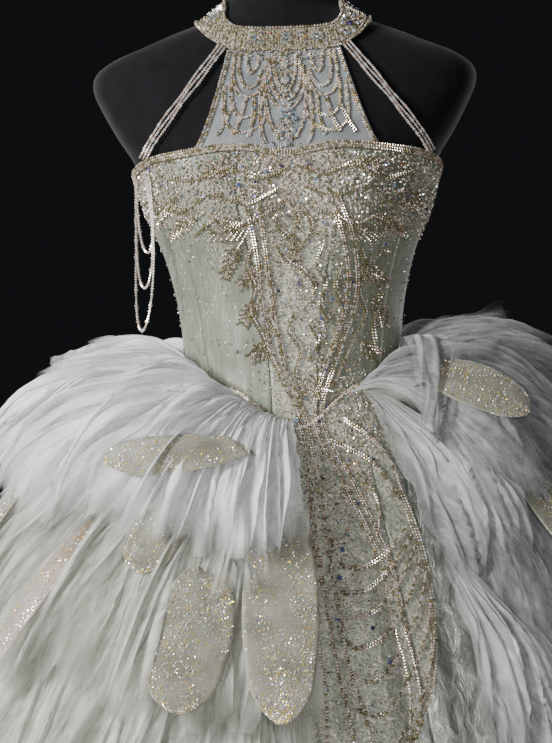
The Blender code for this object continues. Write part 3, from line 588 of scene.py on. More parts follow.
def waist_seam(angle):
    """The height of the waist seam, which dips to a point in front."""
    return WAIST_HEIGHT - POINT_DROP * np.exp(-((np.degrees(angle) / POINT_SPREAD) ** 2))


def bodice_top(angle):
    """The height of the bodice's top edge."""
    return through(BODICE_TOP[:, 0], BODICE_TOP[:, 1], abs(np.degrees(angle)))


def seam_angle(seam, height):
    """Where one of the bodice's seams lies. The last one is the centre back."""
    if seam == 4:
        return math.pi + 0 * height
    return np.radians(through(BODICE_SEAMS[:, 0], BODICE_SEAMS[:, seam], height))


def panel_place(panel, across, up):
    """A panel's directions and heights, and its width."""
    height = np.full(len(across), WAIST_HEIGHT)
    for _ in range(6):
        half_gap = SEAM_GAP / ring_radius(FORM_RINGS, 0 * across, height)
        start = panel.left_side * seam_angle(panel.left, height) + half_gap
        end = panel.right_side * seam_angle(panel.right, height) - half_gap
        angle = start + (end - start) * across
        low, high = waist_seam(angle) + SEAM_GAP / 2, bodice_top(angle)
        height = low + (high - low) * up
    return angle, height, (end - start) * 0.12


def sparks(tree, cells, limit, wide):
    """Round spots on the cells that chance puts over a limit, and the tones that chance gives the cells."""
    tone = add_node(tree, "SeparateColor", {"Color": cells.outputs["Color"]})
    few = add_node(tree, "Math", {0: tone.outputs["Green"], 1: limit}, operation="GREATER_THAN")
    near = add_node(tree, "Math", {0: cells, 1: wide}, operation="LESS_THAN")
    return add_node(tree, "Math", {0: few, 1: near}, operation="MULTIPLY"), tone


# Duchess satin under silk net: a soft sheen, faint upright threads, and the net's scatter of tiny
# sewn sparks. The threads are drawn at 3 mm, so that they show.
satin, tree, shader, where = new_material("satin_under_net", "#A3A899", 0.42, sheen_weight=0.25,
                                          sheen_roughness=0.4)
squeeze = add_node(tree, "Mapping", {"Vector": where, "Scale": (1.0, 1.0, 0.12)})
threads = add_node(tree, "TexNoise", {"Vector": squeeze, "Scale": 330.0, "Detail": 3.0})
cloud = add_node(tree, "TexNoise", {"Vector": where, "Scale": 22.0, "Detail": 3.0})
specks = add_node(tree, "TexVoronoi", {"Vector": where, "Scale": 240.0})
speck, _ = sparks(tree, specks, 0.86, 0.22)
blended = add_node(tree, "Math", {0: threads, 1: cloud}, operation="MULTIPLY")
shade = add_node(tree, "ValToRGB", {"Fac": blended}, [
    (0.1, "#6E7061"), (0.26, "#7F8373"), (0.42, "#989D8E")])
lit = add_node(tree, "Mix", {"Factor": speck, 6: shade, 7: linear("#F5EEDD")}, data_type="RGBA")
relief = add_node(tree, "Bump", {"Height": threads, "Strength": 0.35, "Distance": 0.0005})
gloss = add_node(tree, "MapRange", {"Value": speck, "To Min": 0.45, "To Max": 0.15})
feed(shader, {"Base Color": lit, "Normal": relief, "Roughness": gloss})

# The same net over satin, with smaller beads: sage, with a light grain.
column_ground = beaded_finish(
    "beaded_net_over_satin", "#A6A58E", metal=0.1, sheen=0.15, grain=420.0, cloudy=(90.0, 4.0), strength=0.45,
    deep=0.0009, stops=[(0.0, "#838270"), (0.14, "#94968A"), (0.32, "#A4A899"), (0.56, "#D2CAB6")])

PANEL_COLUMNS, PANEL_ROWS = 26, 32
for panel in PANELS:
    across, up = grid_of(PANEL_COLUMNS, PANEL_ROWS)
    angle, height, width = panel_place(panel, across, up)
    ridge = sum(np.exp(-(((across - bone) * width / BONE_WIDE) ** 2)) for bone in panel.bones)
    rest = 1 - np.clip((up - 0.90) / 0.06, 0, 1)
    place = lifted(form_point, angle, height, EASE + BONE_HIGH * ridge * rest)
    front = panel.name == "bodice_centre_front"
    mesh = grid_mesh(panel.name + "_cloth", place, PANEL_COLUMNS, PANEL_ROWS)
    cloth = walled(finish_object(panel.name + "_cloth", mesh, column_ground if front else satin, panel.name), BODICE_WALL * 0.7)

EDGE_COLUMNS, EDGE_ROWS = 300, 3
across, up = grid_of(EDGE_COLUMNS, EDGE_ROWS)
angle = -math.pi + SEAM_GAP / 0.1 + across * 2 * (math.pi - SEAM_GAP / 0.1)
height = bodice_top(angle) - 0.0005 - TRIM_TALL * (1 - up)
place = lifted(form_point, angle, height, EASE + BODICE_WALL + TRIM_CLEAR - 0.0008)
mesh = grid_mesh("bodice_top_band", place, EDGE_COLUMNS, EDGE_ROWS)
band = walled(finish_object("bodice_top_band", mesh, beaded_net, "bodice_top_trim"), 0.0018)


def gown_place(angle, height, out):
    """Places on the bodice, or below its waist on the skirt, and which way the cloth faces there."""
    above = height >= waist_seam(angle)
    bodice = lifted(form_point, angle, height, EASE + BODICE_WALL + out)
    skirt = lifted(skirt_point, angle, height, SKIRT_WALL + out + fold_out(angle, height))
    facing = np.where(above[:, None], normal_at(form_point, angle, height),
                      normal_at(skirt_point, angle, height))
    return np.where(above[:, None], bodice, skirt), facing


SKIRT_RINGS = np.array([
    (0.012, 0.490, 0.345, 0.460, 2.0), (0.250, 0.432, 0.296, 0.395, 2.0), (0.450, 0.372, 0.246, 0.325, 2.0),
    (0.650, 0.300, 0.192, 0.248, 2.0), (0.800, 0.238, 0.153, 0.188, 2.05), (0.900, 0.193, 0.125, 0.150, 2.1),
    (0.980, 0.150, 0.104, 0.113, 2.2), (1.049, 0.1162, 0.0882, 0.0812, 2.2)])


def skirt_point(angle, height):
    """The line that the skirt is cut to."""
    radius = ring_radius(SKIRT_RINGS, angle, height)
    return np.stack([radius * np.sin(angle), -radius * np.cos(angle), height + 0 * angle], axis=-1)


SKIRT_SEAMS = [-180, -105, -30, 38, 105, 180]
FRONT_FOLDS = [  # degrees, width in degrees, depth in metres: soft folds that run down from the waist
    (2, 2.4, -0.0030), (9, 2.6, 0.0022), (17, 2.8, -0.0022), (27, 2.4, 0.0018), (33, 1.8, -0.0024),
    (-14, 4.0, 0.004)]


def panel_folds(first, last):
    """The soft folds of a skirt panel, which grow from the hip down."""
    if first == SKIRT_SEAMS[2]:
        return FRONT_FOLDS
    return [((first + last) / 2 + step * (last - first) / 7 + 3 * math.sin(step * 2.1), 3.5,
             0.004 * (1 - 0.3 * (step % 2)))
            for step in range(-3, 4)]


def ridges(angle, height, folds):
    """How far the cloth stands out in its folds, which start at the hip and are full a hand below it."""
    out = sum(deep * np.exp(-(((np.degrees(angle) - at) / wide) ** 2)) for at, wide, deep in folds)
    return out * np.clip((0.97 - height) / 0.25, 0, 1)


def fold_out(angle, height):
    """How far the skirt's cloth stands out in its folds, in front and at its left side."""
    out = [ridges(angle, height, panel_folds(*SKIRT_SEAMS[k:k + 2])) for k in (2, 3)]
    return np.where(np.degrees(angle) < SKIRT_SEAMS[3], *out)


def angle_at(x, height):
    """The angle at which the gown's front is this far to one side."""
    angle = np.zeros(len(x))
    for _ in range(30):
        above = height >= waist_seam(angle)
        reach = np.where(above, form_point(angle, height)[:, 0], skirt_point(angle, height)[:, 0])
        angle = angle + (x - reach) / CHEST_RADIUS
    return angle


def outward(place):
    """Level directions away from the gown's middle."""
    facing = place * (1, 1, 0)
    return facing / np.linalg.norm(facing, axis=1, keepdims=True)


def beads_along(line, pitch, size, tints=(0.0, 1.0), out=0.0, flat=True):
    """A string of beads along a line. A flat line is given as x and height on the gown's front."""
    place, along = evenly(line, pitch)
    if flat:
        angle = angle_at(place[:, 0], place[:, 1])
        place, facing = gown_place(angle, place[:, 1], size * 0.38 + out)
        along = np.gradient(place, axis=0)
    else:
        facing = outward(place)
    return strung(place, facing, along, size, tints)


def ring_on_top(down, out, size, pitch):
    """A row of beads right round the bodice's top edge."""
    angle = np.linspace(-math.pi + 0.01, math.pi - 0.01, 900)
    line = lifted(form_point, angle, bodice_top(angle) - down, EASE + BODICE_WALL + out)
    place, along = evenly(line, pitch)
    return strung(place, outward(place), along, size, (0, 0.9), most=1.12)


sewn("bodice_top_beads", SEED, joined([
    ring_on_top(0.0012, TRIM_CLEAR + 0.0012, 0.0031, 0.0031),
    ring_on_top(0.0042, TRIM_CLEAR + 0.0014, 0.0029, 0.0030),
    ring_on_top(0.0070, TRIM_CLEAR + 0.0008, 0.0030, 0.0031)]), beads)

# ---- The beading on the bodice and the column ----
# Scrolls, leaf sprays and a star of seed beads over a close scatter of beads, thickest at the bust and down
# the middle and thin at the sides. The layout is a general one of the same scale.
STAR_AT, STAR_RAYS, STAR_LONG = (0.024, 1.034), 16, 0.017
SCROLLS = [  # lines of beads, each through its own (x, height) points
    [(0.004, 1.268), (-0.028, 1.256), (-0.060, 1.266), (-0.094, 1.256), (-0.124, 1.262)],
    [(-0.012, 1.244), (-0.044, 1.230), (-0.080, 1.240), (-0.110, 1.226), (-0.134, 1.236)],
    [(-0.020, 1.222), (-0.050, 1.208), (-0.078, 1.214), (-0.098, 1.200)],
    [(0.010, 1.270), (0.040, 1.258), (0.068, 1.268), (0.098, 1.254), (0.128, 1.262)],
    [(0.018, 1.246), (0.050, 1.236), (0.082, 1.244), (0.112, 1.228), (0.136, 1.238)],
    [(0.040, 1.222), (0.066, 1.206), (0.094, 1.216), (0.118, 1.202)],
    [(-0.006, 1.236), (-0.016, 1.214), (-0.002, 1.196), (0.010, 1.212), (0.002, 1.232)],
    [(0.012, 1.226), (0.024, 1.206), (0.014, 1.188), (0.002, 1.176)],
    [(-0.014, 1.188), (-0.004, 1.170), (0.012, 1.160), (0.024, 1.144), (0.020, 1.126)],
    [(0.034, 1.186), (0.028, 1.166), (0.036, 1.146), (0.030, 1.124), (0.040, 1.104)],
    [(-0.040, 1.190), (-0.046, 1.166), (-0.038, 1.142), (-0.044, 1.118), (-0.034, 1.096), (-0.024, 1.070),
     (-0.012, 1.044)],
    [(-0.026, 1.158), (-0.018, 1.136), (-0.024, 1.112), (-0.014, 1.090), (-0.010, 1.066)],
    [(0.072, 1.184), (0.078, 1.160), (0.070, 1.136), (0.076, 1.112), (0.064, 1.088), (0.052, 1.062),
     (0.040, 1.036)],
    [(0.052, 1.164), (0.046, 1.140), (0.054, 1.116), (0.046, 1.092), (0.040, 1.070)],
    [(0.004, 1.118), (-0.004, 1.096), (0.008, 1.076), (0.002, 1.052), (0.010, 1.024)],
    [(0.018, 1.104), (0.026, 1.084), (0.016, 1.064)],
    [(0.086, 1.150), (0.092, 1.126), (0.084, 1.104), (0.086, 1.080)],
]
Spray = namedtuple("Spray", "x height heading long bend leaves")
SPRAYS = [
    Spray(-0.030, 1.212, 205, 0.052, -30, 7), Spray(-0.046, 1.196, 228, 0.046, 30, 6),
    Spray(-0.086, 1.222, 196, 0.042, 26, 6), Spray(-0.020, 1.176, 232, 0.044, -26, 6),
    Spray(-0.030, 1.132, 222, 0.034, 24, 5), Spray(0.046, 1.206, -22, 0.050, 30, 7),
    Spray(0.080, 1.216, -12, 0.044, -28, 6), Spray(0.066, 1.170, -46, 0.040, 26, 5),
    Spray(0.082, 1.134, -62, 0.036, -24, 5), Spray(0.004, 1.206, 262, 0.036, 20, 5),
    Spray(-0.052, 1.262, 168, 0.034, 24, 5), Spray(0.060, 1.264, 14, 0.036, -24, 5),
    Spray(-0.022, 1.090, 232, 0.030, -20, 4), Spray(0.066, 1.088, -52, 0.030, 20, 4),
    Spray(-0.108, 1.244, 206, 0.034, 20, 5), Spray(0.106, 1.242, -22, 0.034, -20, 5),
]


def spray_lines(spray):
    """A bent stem, and slim leaves that shorten towards its tip."""
    t = np.linspace(0, 1, 12)
    heading = np.radians(spray.heading + spray.bend * t)
    step = spray.long / 11
    stem = np.cumsum(np.stack([np.cos(heading), np.sin(heading)], axis=-1) * step, axis=0)
    stem += (spray.x, spray.height)
    lines = [stem]
    for k in range(spray.leaves):
        at = 0.15 + 0.8 * k / spray.leaves
        root = np.array([np.interp(at, t, stem[:, 0]), np.interp(at, t, stem[:, 1])])
        for side in (-1, 1):
            way = np.interp(at, t, heading) + side * math.radians(48)
            s = np.linspace(0.15, 1, 6)[:, None]
            tip = np.array([math.cos(way), math.sin(way)]) * 0.012 * (1.15 - 0.6 * at)
            curl = np.array([math.cos(heading[0]), math.sin(heading[0])]) * 0.004
            lines.append(root + tip * s + curl * s * s)
    return lines


def scattered(angles, heights, pitch, share, sizes, tints=(0.0, 1.0), reach=0.14):
    """Beads on a loose grid of one pitch, kept where the share that is wanted there allows."""
    columns = int(np.radians(angles[1] - angles[0]) * reach / pitch)
    rows = int((heights[1] - heights[0]) / pitch)
    across, up = grid_of(columns, rows)
    angle = np.radians(angles[0] + (angles[1] - angles[0]) * across)
    angle += chance.normal(0, 0.28 * pitch / reach, len(across))
    height = heights[0] + (heights[1] - heights[0]) * up + chance.normal(0, 0.28 * pitch, len(up))
    kept = chance.uniform(0, 1, len(angle)) < share(np.degrees(angle), height)
    angle, height = angle[kept], height[kept]
    count = len(angle)
    size = sizes[0] + (sizes[1] - sizes[0]) * chance.uniform(0, 1, count) ** 1.8
    place, facing = gown_place(angle, height, size * 0.30)
    along = np.cross(facing, chance.normal(0, 1, (count, 3)))
    facing = facing + chance.normal(0, 0.16, (count, 3))
    return Work(place, facing, along, size, chance.uniform(*tints, count))


def bead_bands(degrees, height):
    """Beads lie close in winding bands, from 0 on the open ground between them to 1."""
    wind = 2.2 * np.sin(0.055 * degrees + 21 * height) + 1.4 * np.sin(0.13 * degrees - 33 * height + 1.3)
    bands = np.sin(0.24 * degrees + wind) + 0.6 * np.sin(0.11 * degrees - 70 * height + 2 * wind)
    return np.clip(0.5 + 0.55 * bands, 0, 1)


def bodice_share(degrees, height):
    """How much of the bodice the scatter covers: nearly all of the bust and the middle, little at the sides."""
    half = np.interp(height, [0.99, 1.05, 1.10, 1.15, 1.19, 1.215, 1.24], [30, 27, 29, 34, 50, 86, 108])
    away = abs(degrees - np.interp(height, [1.0, 1.2, 1.25], [13, 12, 2])) / half
    inside = np.clip((1.3 - away) / 0.5, 0, 1)
    angle = np.radians(degrees)
    edge = (height < bodice_top(angle) - 0.009) & (height > waist_seam(angle) - 0.001)
    open_ground = np.clip((1.235 - height) / 0.03, 0.25, 1) * (1 - bead_bands(degrees, height))
    return edge * (0.92 * inside * (1 - 0.78 * open_ground) + 0.045)


def bust_share(degrees, height):
    """Larger beads lie in soft clusters over the bust, closest along the top edge."""
    cluster = 0.5 + 0.5 * np.sin(0.21 * degrees + 60 * height) * np.sin(95 * height - 0.13 * degrees + 1.0)
    return bodice_share(degrees, height) * np.clip((height - 1.185) / 0.03, 0, 1) * (0.35 + 0.65 * cluster)


front_work = [scattered((-118, 118), (0.985, 1.29), 0.0031, bodice_share, (0.0016, 0.0032)),
              scattered((-112, 112), (1.18, 1.29), 0.0046, bust_share, (0.0030, 0.0048), (0.0, 0.34)),
              scattered((-112, 112), (1.18, 1.29), 0.0060, bust_share, (0.0030, 0.0044), (0.46, 0.83))]
line_work = [beads_along(curve_through(line) + (aside, aside), 0.0030, size, tints, out=0.0010)
             for line in SCROLLS for aside, size, tints in ((-0.0014, 0.0031, (0.34, 0.46)),
                                                            (0.0014, 0.0028, (0.46, 0.80)))]
for spray in SPRAYS:
    for line in spray_lines(spray):
        line_work.append(beads_along(line, 0.0026, 0.0028, (0.30, 0.72), out=0.0008))
for k in range(STAR_RAYS):
    way = 2 * math.pi * (k + 0.3) / STAR_RAYS
    tip = np.array([math.cos(way), math.sin(way)]) * STAR_LONG * (1.0 if k % 2 else 0.78)
    line_work.append(beads_along(np.array(STAR_AT) + np.linspace(0.22, 1, 6)[:, None] * tip, 0.0022, 0.0026,
                                 (0.30, 0.50), out=0.0010))
turn = np.radians(np.linspace(-110, 110, 700))
inner = lifted(form_point, turn, waist_seam(turn) + 0.0012, EASE + BODICE_WALL + 0.0008)
outer = lifted(skirt_point, turn, waist_seam(turn) + 0.0004, SKIRT_WALL + 0.0010)
for mix in (0.0, 0.34, 0.67, 1.0):  # beads close the step between the bodice and the skirt
    line_work.append(beads_along(inner * (1 - mix) + outer * mix, 0.0029, 0.0033, (0.0, 0.85), flat=False))
sewn("bodice_scatter", CUT_BEAD, joined(front_work), beads, (1.0, 1.0, 0.85))
sewn("bodice_scrolls", SEED, joined(line_work), beads)

hidden_work = scattered((118, 242), (1.03, 1.26), 0.013, lambda degrees, height: (
    height < bodice_top(np.radians((degrees + 180) % 360 - 180)) - 0.01) * 0.7, (0.0016, 0.0026))
sewn("bodice_back_studs", SEED, hidden_work, beads, (1.0, 1.0, 0.85))

# ---- The ropes of beads ----
# Four raised ropes, each of two strings of beads couched side by side over a cord. They run from the
# bust to the waist, where they come together, and part again down the column.
STRAND_RADIUS, ROPE_CLEAR = 0.0016, 0.0017
ROPES = {  # (height, x)
    "bead_rope_left_outer": [(0.780, 0.030), (0.850, 0.020), (0.930, 0.012), (1.000, 0.004), (1.060, -0.019),
                             (1.120, -0.030), (1.180, -0.036), (1.240, -0.048)],
    "bead_rope_left_inner": [(0.780, 0.042), (0.850, 0.032), (0.930, 0.022), (1.000, 0.011), (1.060, -0.010),
                             (1.120, -0.020), (1.180, -0.026), (1.250, -0.036)],
    "bead_rope_right_inner": [(0.780, 0.096), (0.850, 0.084), (0.930, 0.050), (1.000, 0.020), (1.060, 0.034),
                              (1.130, 0.058), (1.190, 0.056), (1.250, 0.038)],
    "bead_rope_right_outer": [(0.780, 0.106), (0.850, 0.093), (0.930, 0.060), (1.000, 0.028), (1.060, 0.043),
                              (1.130, 0.067), (1.190, 0.066), (1.240, 0.050)],
}
for name, rows in ROPES.items():
    rows = np.array(rows)
    height = np.linspace(rows[0, 0], rows[-1, 0], 160)
    line = np.stack([through(rows[:, 0], rows[:, 1], height), height], axis=-1)
    both = [beads_along(line + (aside, 0), 0.0029, 0.0029, (0.0, 0.92), out=0.0010)
            for aside in (-0.0013, 0.0013)]
    sewn(name + "_beads", SEED, joined(both), beads, nodes=name)

# ---- The column ----
# The skirt's front panel: net over satin, closely beaded to the hip and thinner below, with swags of
# beads that hang from its right border. A strip of crumpled metal organza shows beside the border.
SKIRT_PANELS = ["skirt_back_left", "skirt_side_left", "skirt_front", "skirt_side_right", "skirt_back_right"]
SKIRT_HEM = 0.012
BORDER = np.array([  # x and height of the right border's beads
    (0.108, 0.925), (0.118, 0.900), (0.128, 0.866), (0.135, 0.830), (0.138, 0.785), (0.134, 0.740),
    (0.124, 0.700), (0.104, 0.660), (0.092, 0.610), (0.098, 0.520), (0.112, 0.400), (0.128, 0.250),
    (0.140, 0.120), (0.146, 0.030)])
SWAGS = [  # where each starts on the border, its lowest point, and where it ends near the ropes
    [(0.112, 0.885), (0.086, 0.858), (0.062, 0.846), (0.040, 0.850)],
    [(0.116, 0.876), (0.094, 0.846), (0.066, 0.824), (0.040, 0.822)],
    [(0.120, 0.866), (0.102, 0.832), (0.074, 0.802), (0.046, 0.796)],
    [(0.124, 0.852), (0.110, 0.814), (0.084, 0.778), (0.058, 0.766), (0.040, 0.776)],
    [(0.130, 0.838), (0.118, 0.796), (0.094, 0.752), (0.068, 0.732), (0.046, 0.744)],
    [(0.134, 0.812), (0.124, 0.770), (0.104, 0.728), (0.078, 0.700), (0.052, 0.706)],
    [(0.137, 0.790), (0.130, 0.748), (0.112, 0.700), (0.086, 0.668), (0.058, 0.664)],
]
LOOSE_STRINGS = [  # single strings that carry on below the ropes and above the border
    [(0.030, 0.782), (0.035, 0.745), (0.044, 0.705), (0.050, 0.665), (0.050, 0.61)],
    [(0.041, 0.782), (0.047, 0.748), (0.058, 0.712), (0.066, 0.675), (0.068, 0.63)],
    [(0.096, 0.782), (0.104, 0.748), (0.108, 0.712), (0.104, 0.672), (0.092, 0.632)],
    [(0.105, 0.782), (0.113, 0.750), (0.118, 0.716), (0.113, 0.676), (0.100, 0.640)],
    [(0.108, 0.925), (0.100, 0.948), (0.088, 0.968), (0.070, 0.986), (0.050, 1.000)],
    [(0.104, 0.915), (0.092, 0.936), (0.076, 0.956), (0.056, 0.968), (0.036, 0.978)],
    [(0.018, 0.930), (0.012, 0.890), (0.016, 0.850), (0.010, 0.810), (0.016, 0.770), (0.022, 0.72),
     (0.020, 0.66)],
    [(0.036, 0.960), (0.048, 0.930), (0.052, 0.900), (0.046, 0.872)],
    [(0.026, 0.900), (0.034, 0.870), (0.030, 0.840)],
    [(0.062, 0.945), (0.078, 0.925), (0.084, 0.900), (0.080, 0.878)]]

# Metal organza: silver-lacquered silk, crushed so that it breaks into small facets. The colour follows the
# same relief: lighter where the silk stands up and darker in its hollows, which is painted highlight and shade.
organza, tree, shader, where = new_material("crushed_metal_organza", "#B4B7AD", 0.3, metallic=0.6)
squeeze = add_node(tree, "Mapping", {"Vector": where, "Scale": (1.0, 1.0, 0.45)})
crush_and_painted_light = add_node(tree, "TexNoise", {
    "Vector": squeeze, "Scale": 75.0, "Detail": 6.0, "Roughness": 0.65, "Distortion": 0.8})
# Painted highlight and shade: lighter on the raised crumples, darker in their hollows.
shade = add_node(tree, "ValToRGB", {"Fac": crush_and_painted_light}, [
    (0.32, "#85897F"), (0.5, "#ACAFA6"), (0.66, "#E8EAE2")])
relief = add_node(tree, "Bump", {"Height": crush_and_painted_light, "Strength": 0.9, "Distance": 0.004})
feed(shader, {"Base Color": shade, "Normal": relief})


def border_at(height):
    """How far to the right the border lies."""
    return np.interp(height, BORDER[::-1, 1], BORDER[::-1, 0])


def skirt_panel(first, last, across, up):
    """A panel's points between two seams, from the hem up to the waist."""
    angle = np.radians(first + (last - first) * across)
    height = SKIRT_HEM + (waist_seam(angle) - SEAM_GAP / 2 - SKIRT_HEM) * (1 - (1 - up) ** 1.6)
    angle = angle + SEAM_GAP / 2 / ring_radius(SKIRT_RINGS, angle, height) * (1 - 2 * across)
    return lifted(skirt_point, angle, height, ridges(angle, height, panel_folds(first, last)))


for name, first, last in zip(SKIRT_PANELS, SKIRT_SEAMS, SKIRT_SEAMS[1:]):
    front = name == "skirt_front"
    beside = name == "skirt_side_right"
    columns, rows = (84, 84) if front else (72, 84) if beside else (44, 30)
    across, up = grid_of(columns, rows)
    mesh = grid_mesh(name + "_cloth", skirt_panel(first, last, across, up), columns, rows)
    cloth = finish_object(name + "_cloth", mesh, column_ground if front else organza, name)
    if front or beside:
        mesh.materials.append(organza if front else column_ground)
        centres = np.array([p.center for p in mesh.polygons])
        past = centres[:, 0] > border_at(centres[:, 2]) + 0.002
        mesh.polygons.foreach_set("material_index",
                                  (past if front else ~past & (centres[:, 1] < -0.06)).astype(np.int32))
    walled(cloth, SKIRT_WALL * 0.8)


def column_share(degrees, height):
    """How much of the column the scatter covers: nearly all at the waist, and less and less below the hip."""
    x = np.sin(np.radians(degrees)) * np.interp(height, [0.6, 0.8, 0.9, 1.0], [0.315, 0.238, 0.193, 0.142])
    inside = (x < border_at(height)) & (x > -0.02)
    below_waist = height < waist_seam(np.radians(degrees)) - 0.0015
    thick = np.interp(height, [0.02, 0.55, 0.66, 0.80, 0.88, 0.93], [0.05, 0.08, 0.13, 0.18, 0.50, 0.86])
    return inside * below_waist * thick * (0.6 + 0.4 * bead_bands(degrees * 1.3, height))


column_work = [scattered((-12, 62), (0.60, 1.03), 0.0032, column_share, (0.0016, 0.0033), reach=0.2),
               scattered((-8, 40), (0.03, 0.60), 0.0090, column_share, (0.0020, 0.0034), reach=0.3)]
for shift in (0.0, -0.0031, -0.0060):
    column_work.append(beads_along(curve_through(BORDER + (shift, 0), 200), 0.0031, 0.0030, (0, 0.92),
                                   out=0.0004))
sewn("column_scatter", CUT_BEAD, joined(column_work), beads, (1.0, 1.0, 0.85))
sewn("column_swags", SEED, joined([
    beads_along(curve_through(line) + (0, aside), 0.0031, 0.0033, (0.16, 0.85), out=0.0014)
    for line in SWAGS + LOOSE_STRINGS for aside in (-0.0015, 0.0015)]), beads)

# ---- The stones ----
# Foiled glass stones, sewn through their settings among the beads: pale blue and violet ones at the
# waist, and many small clear ones over the bust and the column.
BIG_STONES = [  # x, height, width, tint
    (0.001, 1.000, 0.0075, 0.40), (0.026, 0.999, 0.0050, 0.95), (-0.052, 1.248, 0.0062, 0.72),
    (0.030, 1.252, 0.0066, 0.35), (0.110, 1.246, 0.0058, 0.40), (0.124, 1.236, 0.0052, 0.72),
    (-0.096, 1.244, 0.0056, 0.1), (0.066, 1.250, 0.0055, 0.55), (-0.024, 1.262, 0.0056, 0.40),
    (0.006, 1.150, 0.0055, 0.55), (0.056, 1.152, 0.0050, 0.1), (-0.030, 1.108, 0.0046, 0.35),
    (0.030, 1.108, 0.0046, 0.72), (0.060, 1.092, 0.0048, 0.1), (-0.060, 1.076, 0.0050, 0.80),
    (0.044, 0.866, 0.0060, 0.72), (0.050, 0.880, 0.0052, 0.40), (0.040, 0.838, 0.0064, 0.72),
    (0.056, 0.834, 0.0052, 0.55), (0.070, 0.800, 0.0060, 0.35), (0.072, 0.786, 0.0050, 0.95),
    (0.088, 0.752, 0.0060, 0.72), (0.098, 0.742, 0.0054, 0.1), (0.058, 0.750, 0.0046, 0.55),
    (0.068, 0.700, 0.0050, 0.35), (0.030, 0.900, 0.0044, 0.8), (0.084, 0.880, 0.0048, 0.55),
    (0.062, 0.912, 0.0044, 0.72),
]


def stone_share(degrees, height):
    """Small stones lie where the scatter does, at half its share."""
    return 0.42 * bodice_share(degrees, height) + 0.5 * column_share(degrees, height)


stones = np.array(BIG_STONES)
turn = angle_at(stones[:, 0], stones[:, 1])
place, facing = gown_place(turn, stones[:, 1], stones[:, 2] * 0.24)
big = laid(place, facing, stones[:, 2], stones[:, 3])
small = scattered((-100, 100), (0.66, 1.29), 0.0125, stone_share, (0.0030, 0.0044), reach=0.16)
sewn("front_stones", STONE, joined([big, small._replace(place=small.place + small.facing * 0.0007)]),
     crystal)

# ---- The yoke ----
# Sheer grey-blue silk net in fine upright pleats, sewn under the collar and the bodice's top edge,
# with two strings of beads down each side, swags of beads, and drops and a flower of stones in the middle.
YOKE_TOP_HALF, YOKE_FOOT_HALF, YOKE_PLEATS, PLEAT_DEEP = 0.060, 0.098, 104, 0.00025
YOKE_SWAGS = [  # points across (0 left, 1 right) and up (0 foot, 1 collar)
    [(0.07, 0.97), (0.09, 0.74), (0.16, 0.55), (0.24, 0.50), (0.31, 0.58), (0.33, 0.74)],
    [(0.11, 0.97), (0.13, 0.80), (0.18, 0.64), (0.24, 0.60), (0.29, 0.66), (0.31, 0.80)],
    [(0.17, 0.97), (0.19, 0.86), (0.23, 0.76), (0.27, 0.82), (0.28, 0.96)],
    [(0.09, 0.68), (0.14, 0.40), (0.22, 0.28), (0.31, 0.34), (0.35, 0.52)],
    [(0.05, 0.62), (0.12, 0.24), (0.22, 0.12), (0.33, 0.20), (0.38, 0.40)],
    [(0.34, 0.72), (0.36, 0.46), (0.40, 0.24), (0.45, 0.10)],
    [(0.32, 0.62), (0.33, 0.36), (0.35, 0.14), (0.38, 0.03)],
    [(0.22, 0.48), (0.21, 0.28), (0.19, 0.10)], [(0.28, 0.50), (0.29, 0.30), (0.28, 0.08)],
    [(0.14, 0.44), (0.12, 0.24), (0.10, 0.10)],
    [(0.40, 0.96), (0.42, 0.76), (0.46, 0.62), (0.50, 0.58), (0.54, 0.62), (0.58, 0.76), (0.60, 0.96)],
    [(0.37, 0.92), (0.39, 0.68), (0.44, 0.53), (0.50, 0.49), (0.56, 0.53), (0.61, 0.68), (0.63, 0.92)],
    [(0.35, 0.84), (0.37, 0.60), (0.43, 0.44), (0.50, 0.40), (0.57, 0.44), (0.63, 0.60), (0.65, 0.84)],
    [(0.93, 0.97), (0.91, 0.74), (0.85, 0.55), (0.77, 0.50), (0.70, 0.58), (0.67, 0.74)],
    [(0.89, 0.97), (0.87, 0.80), (0.83, 0.64), (0.77, 0.60), (0.72, 0.66), (0.69, 0.80)],
    [(0.83, 0.97), (0.81, 0.86), (0.77, 0.76), (0.73, 0.82), (0.72, 0.96)],
    [(0.91, 0.68), (0.86, 0.40), (0.78, 0.28), (0.69, 0.34), (0.65, 0.52)],
    [(0.95, 0.62), (0.88, 0.24), (0.78, 0.12), (0.67, 0.20), (0.62, 0.40)],
    [(0.66, 0.72), (0.64, 0.46), (0.60, 0.24), (0.55, 0.10)],
    [(0.68, 0.62), (0.67, 0.36), (0.65, 0.14), (0.62, 0.03)],
    [(0.78, 0.48), (0.79, 0.28), (0.81, 0.10)], [(0.72, 0.50), (0.71, 0.30), (0.72, 0.08)],
    [(0.86, 0.44), (0.88, 0.24), (0.90, 0.10)],
]


def yoke_place(across, up, out):
    """Places on the yoke, and which way it faces there."""
    half = YOKE_FOOT_HALF + (YOKE_TOP_HALF - YOKE_FOOT_HALF) * up**0.75
    angle = np.zeros(len(across))
    for _ in range(30):
        low, high = bodice_top(angle) + SEAM_GAP, collar_foot(angle) - SEAM_GAP
        height = low + (high - low) * up
        angle = angle + ((2 * across - 1) * half - form_point(angle, height)[:, 0]) / CHEST_RADIUS
    return lifted(form_point, angle, height, EASE + out), normal_at(form_point, angle, height)


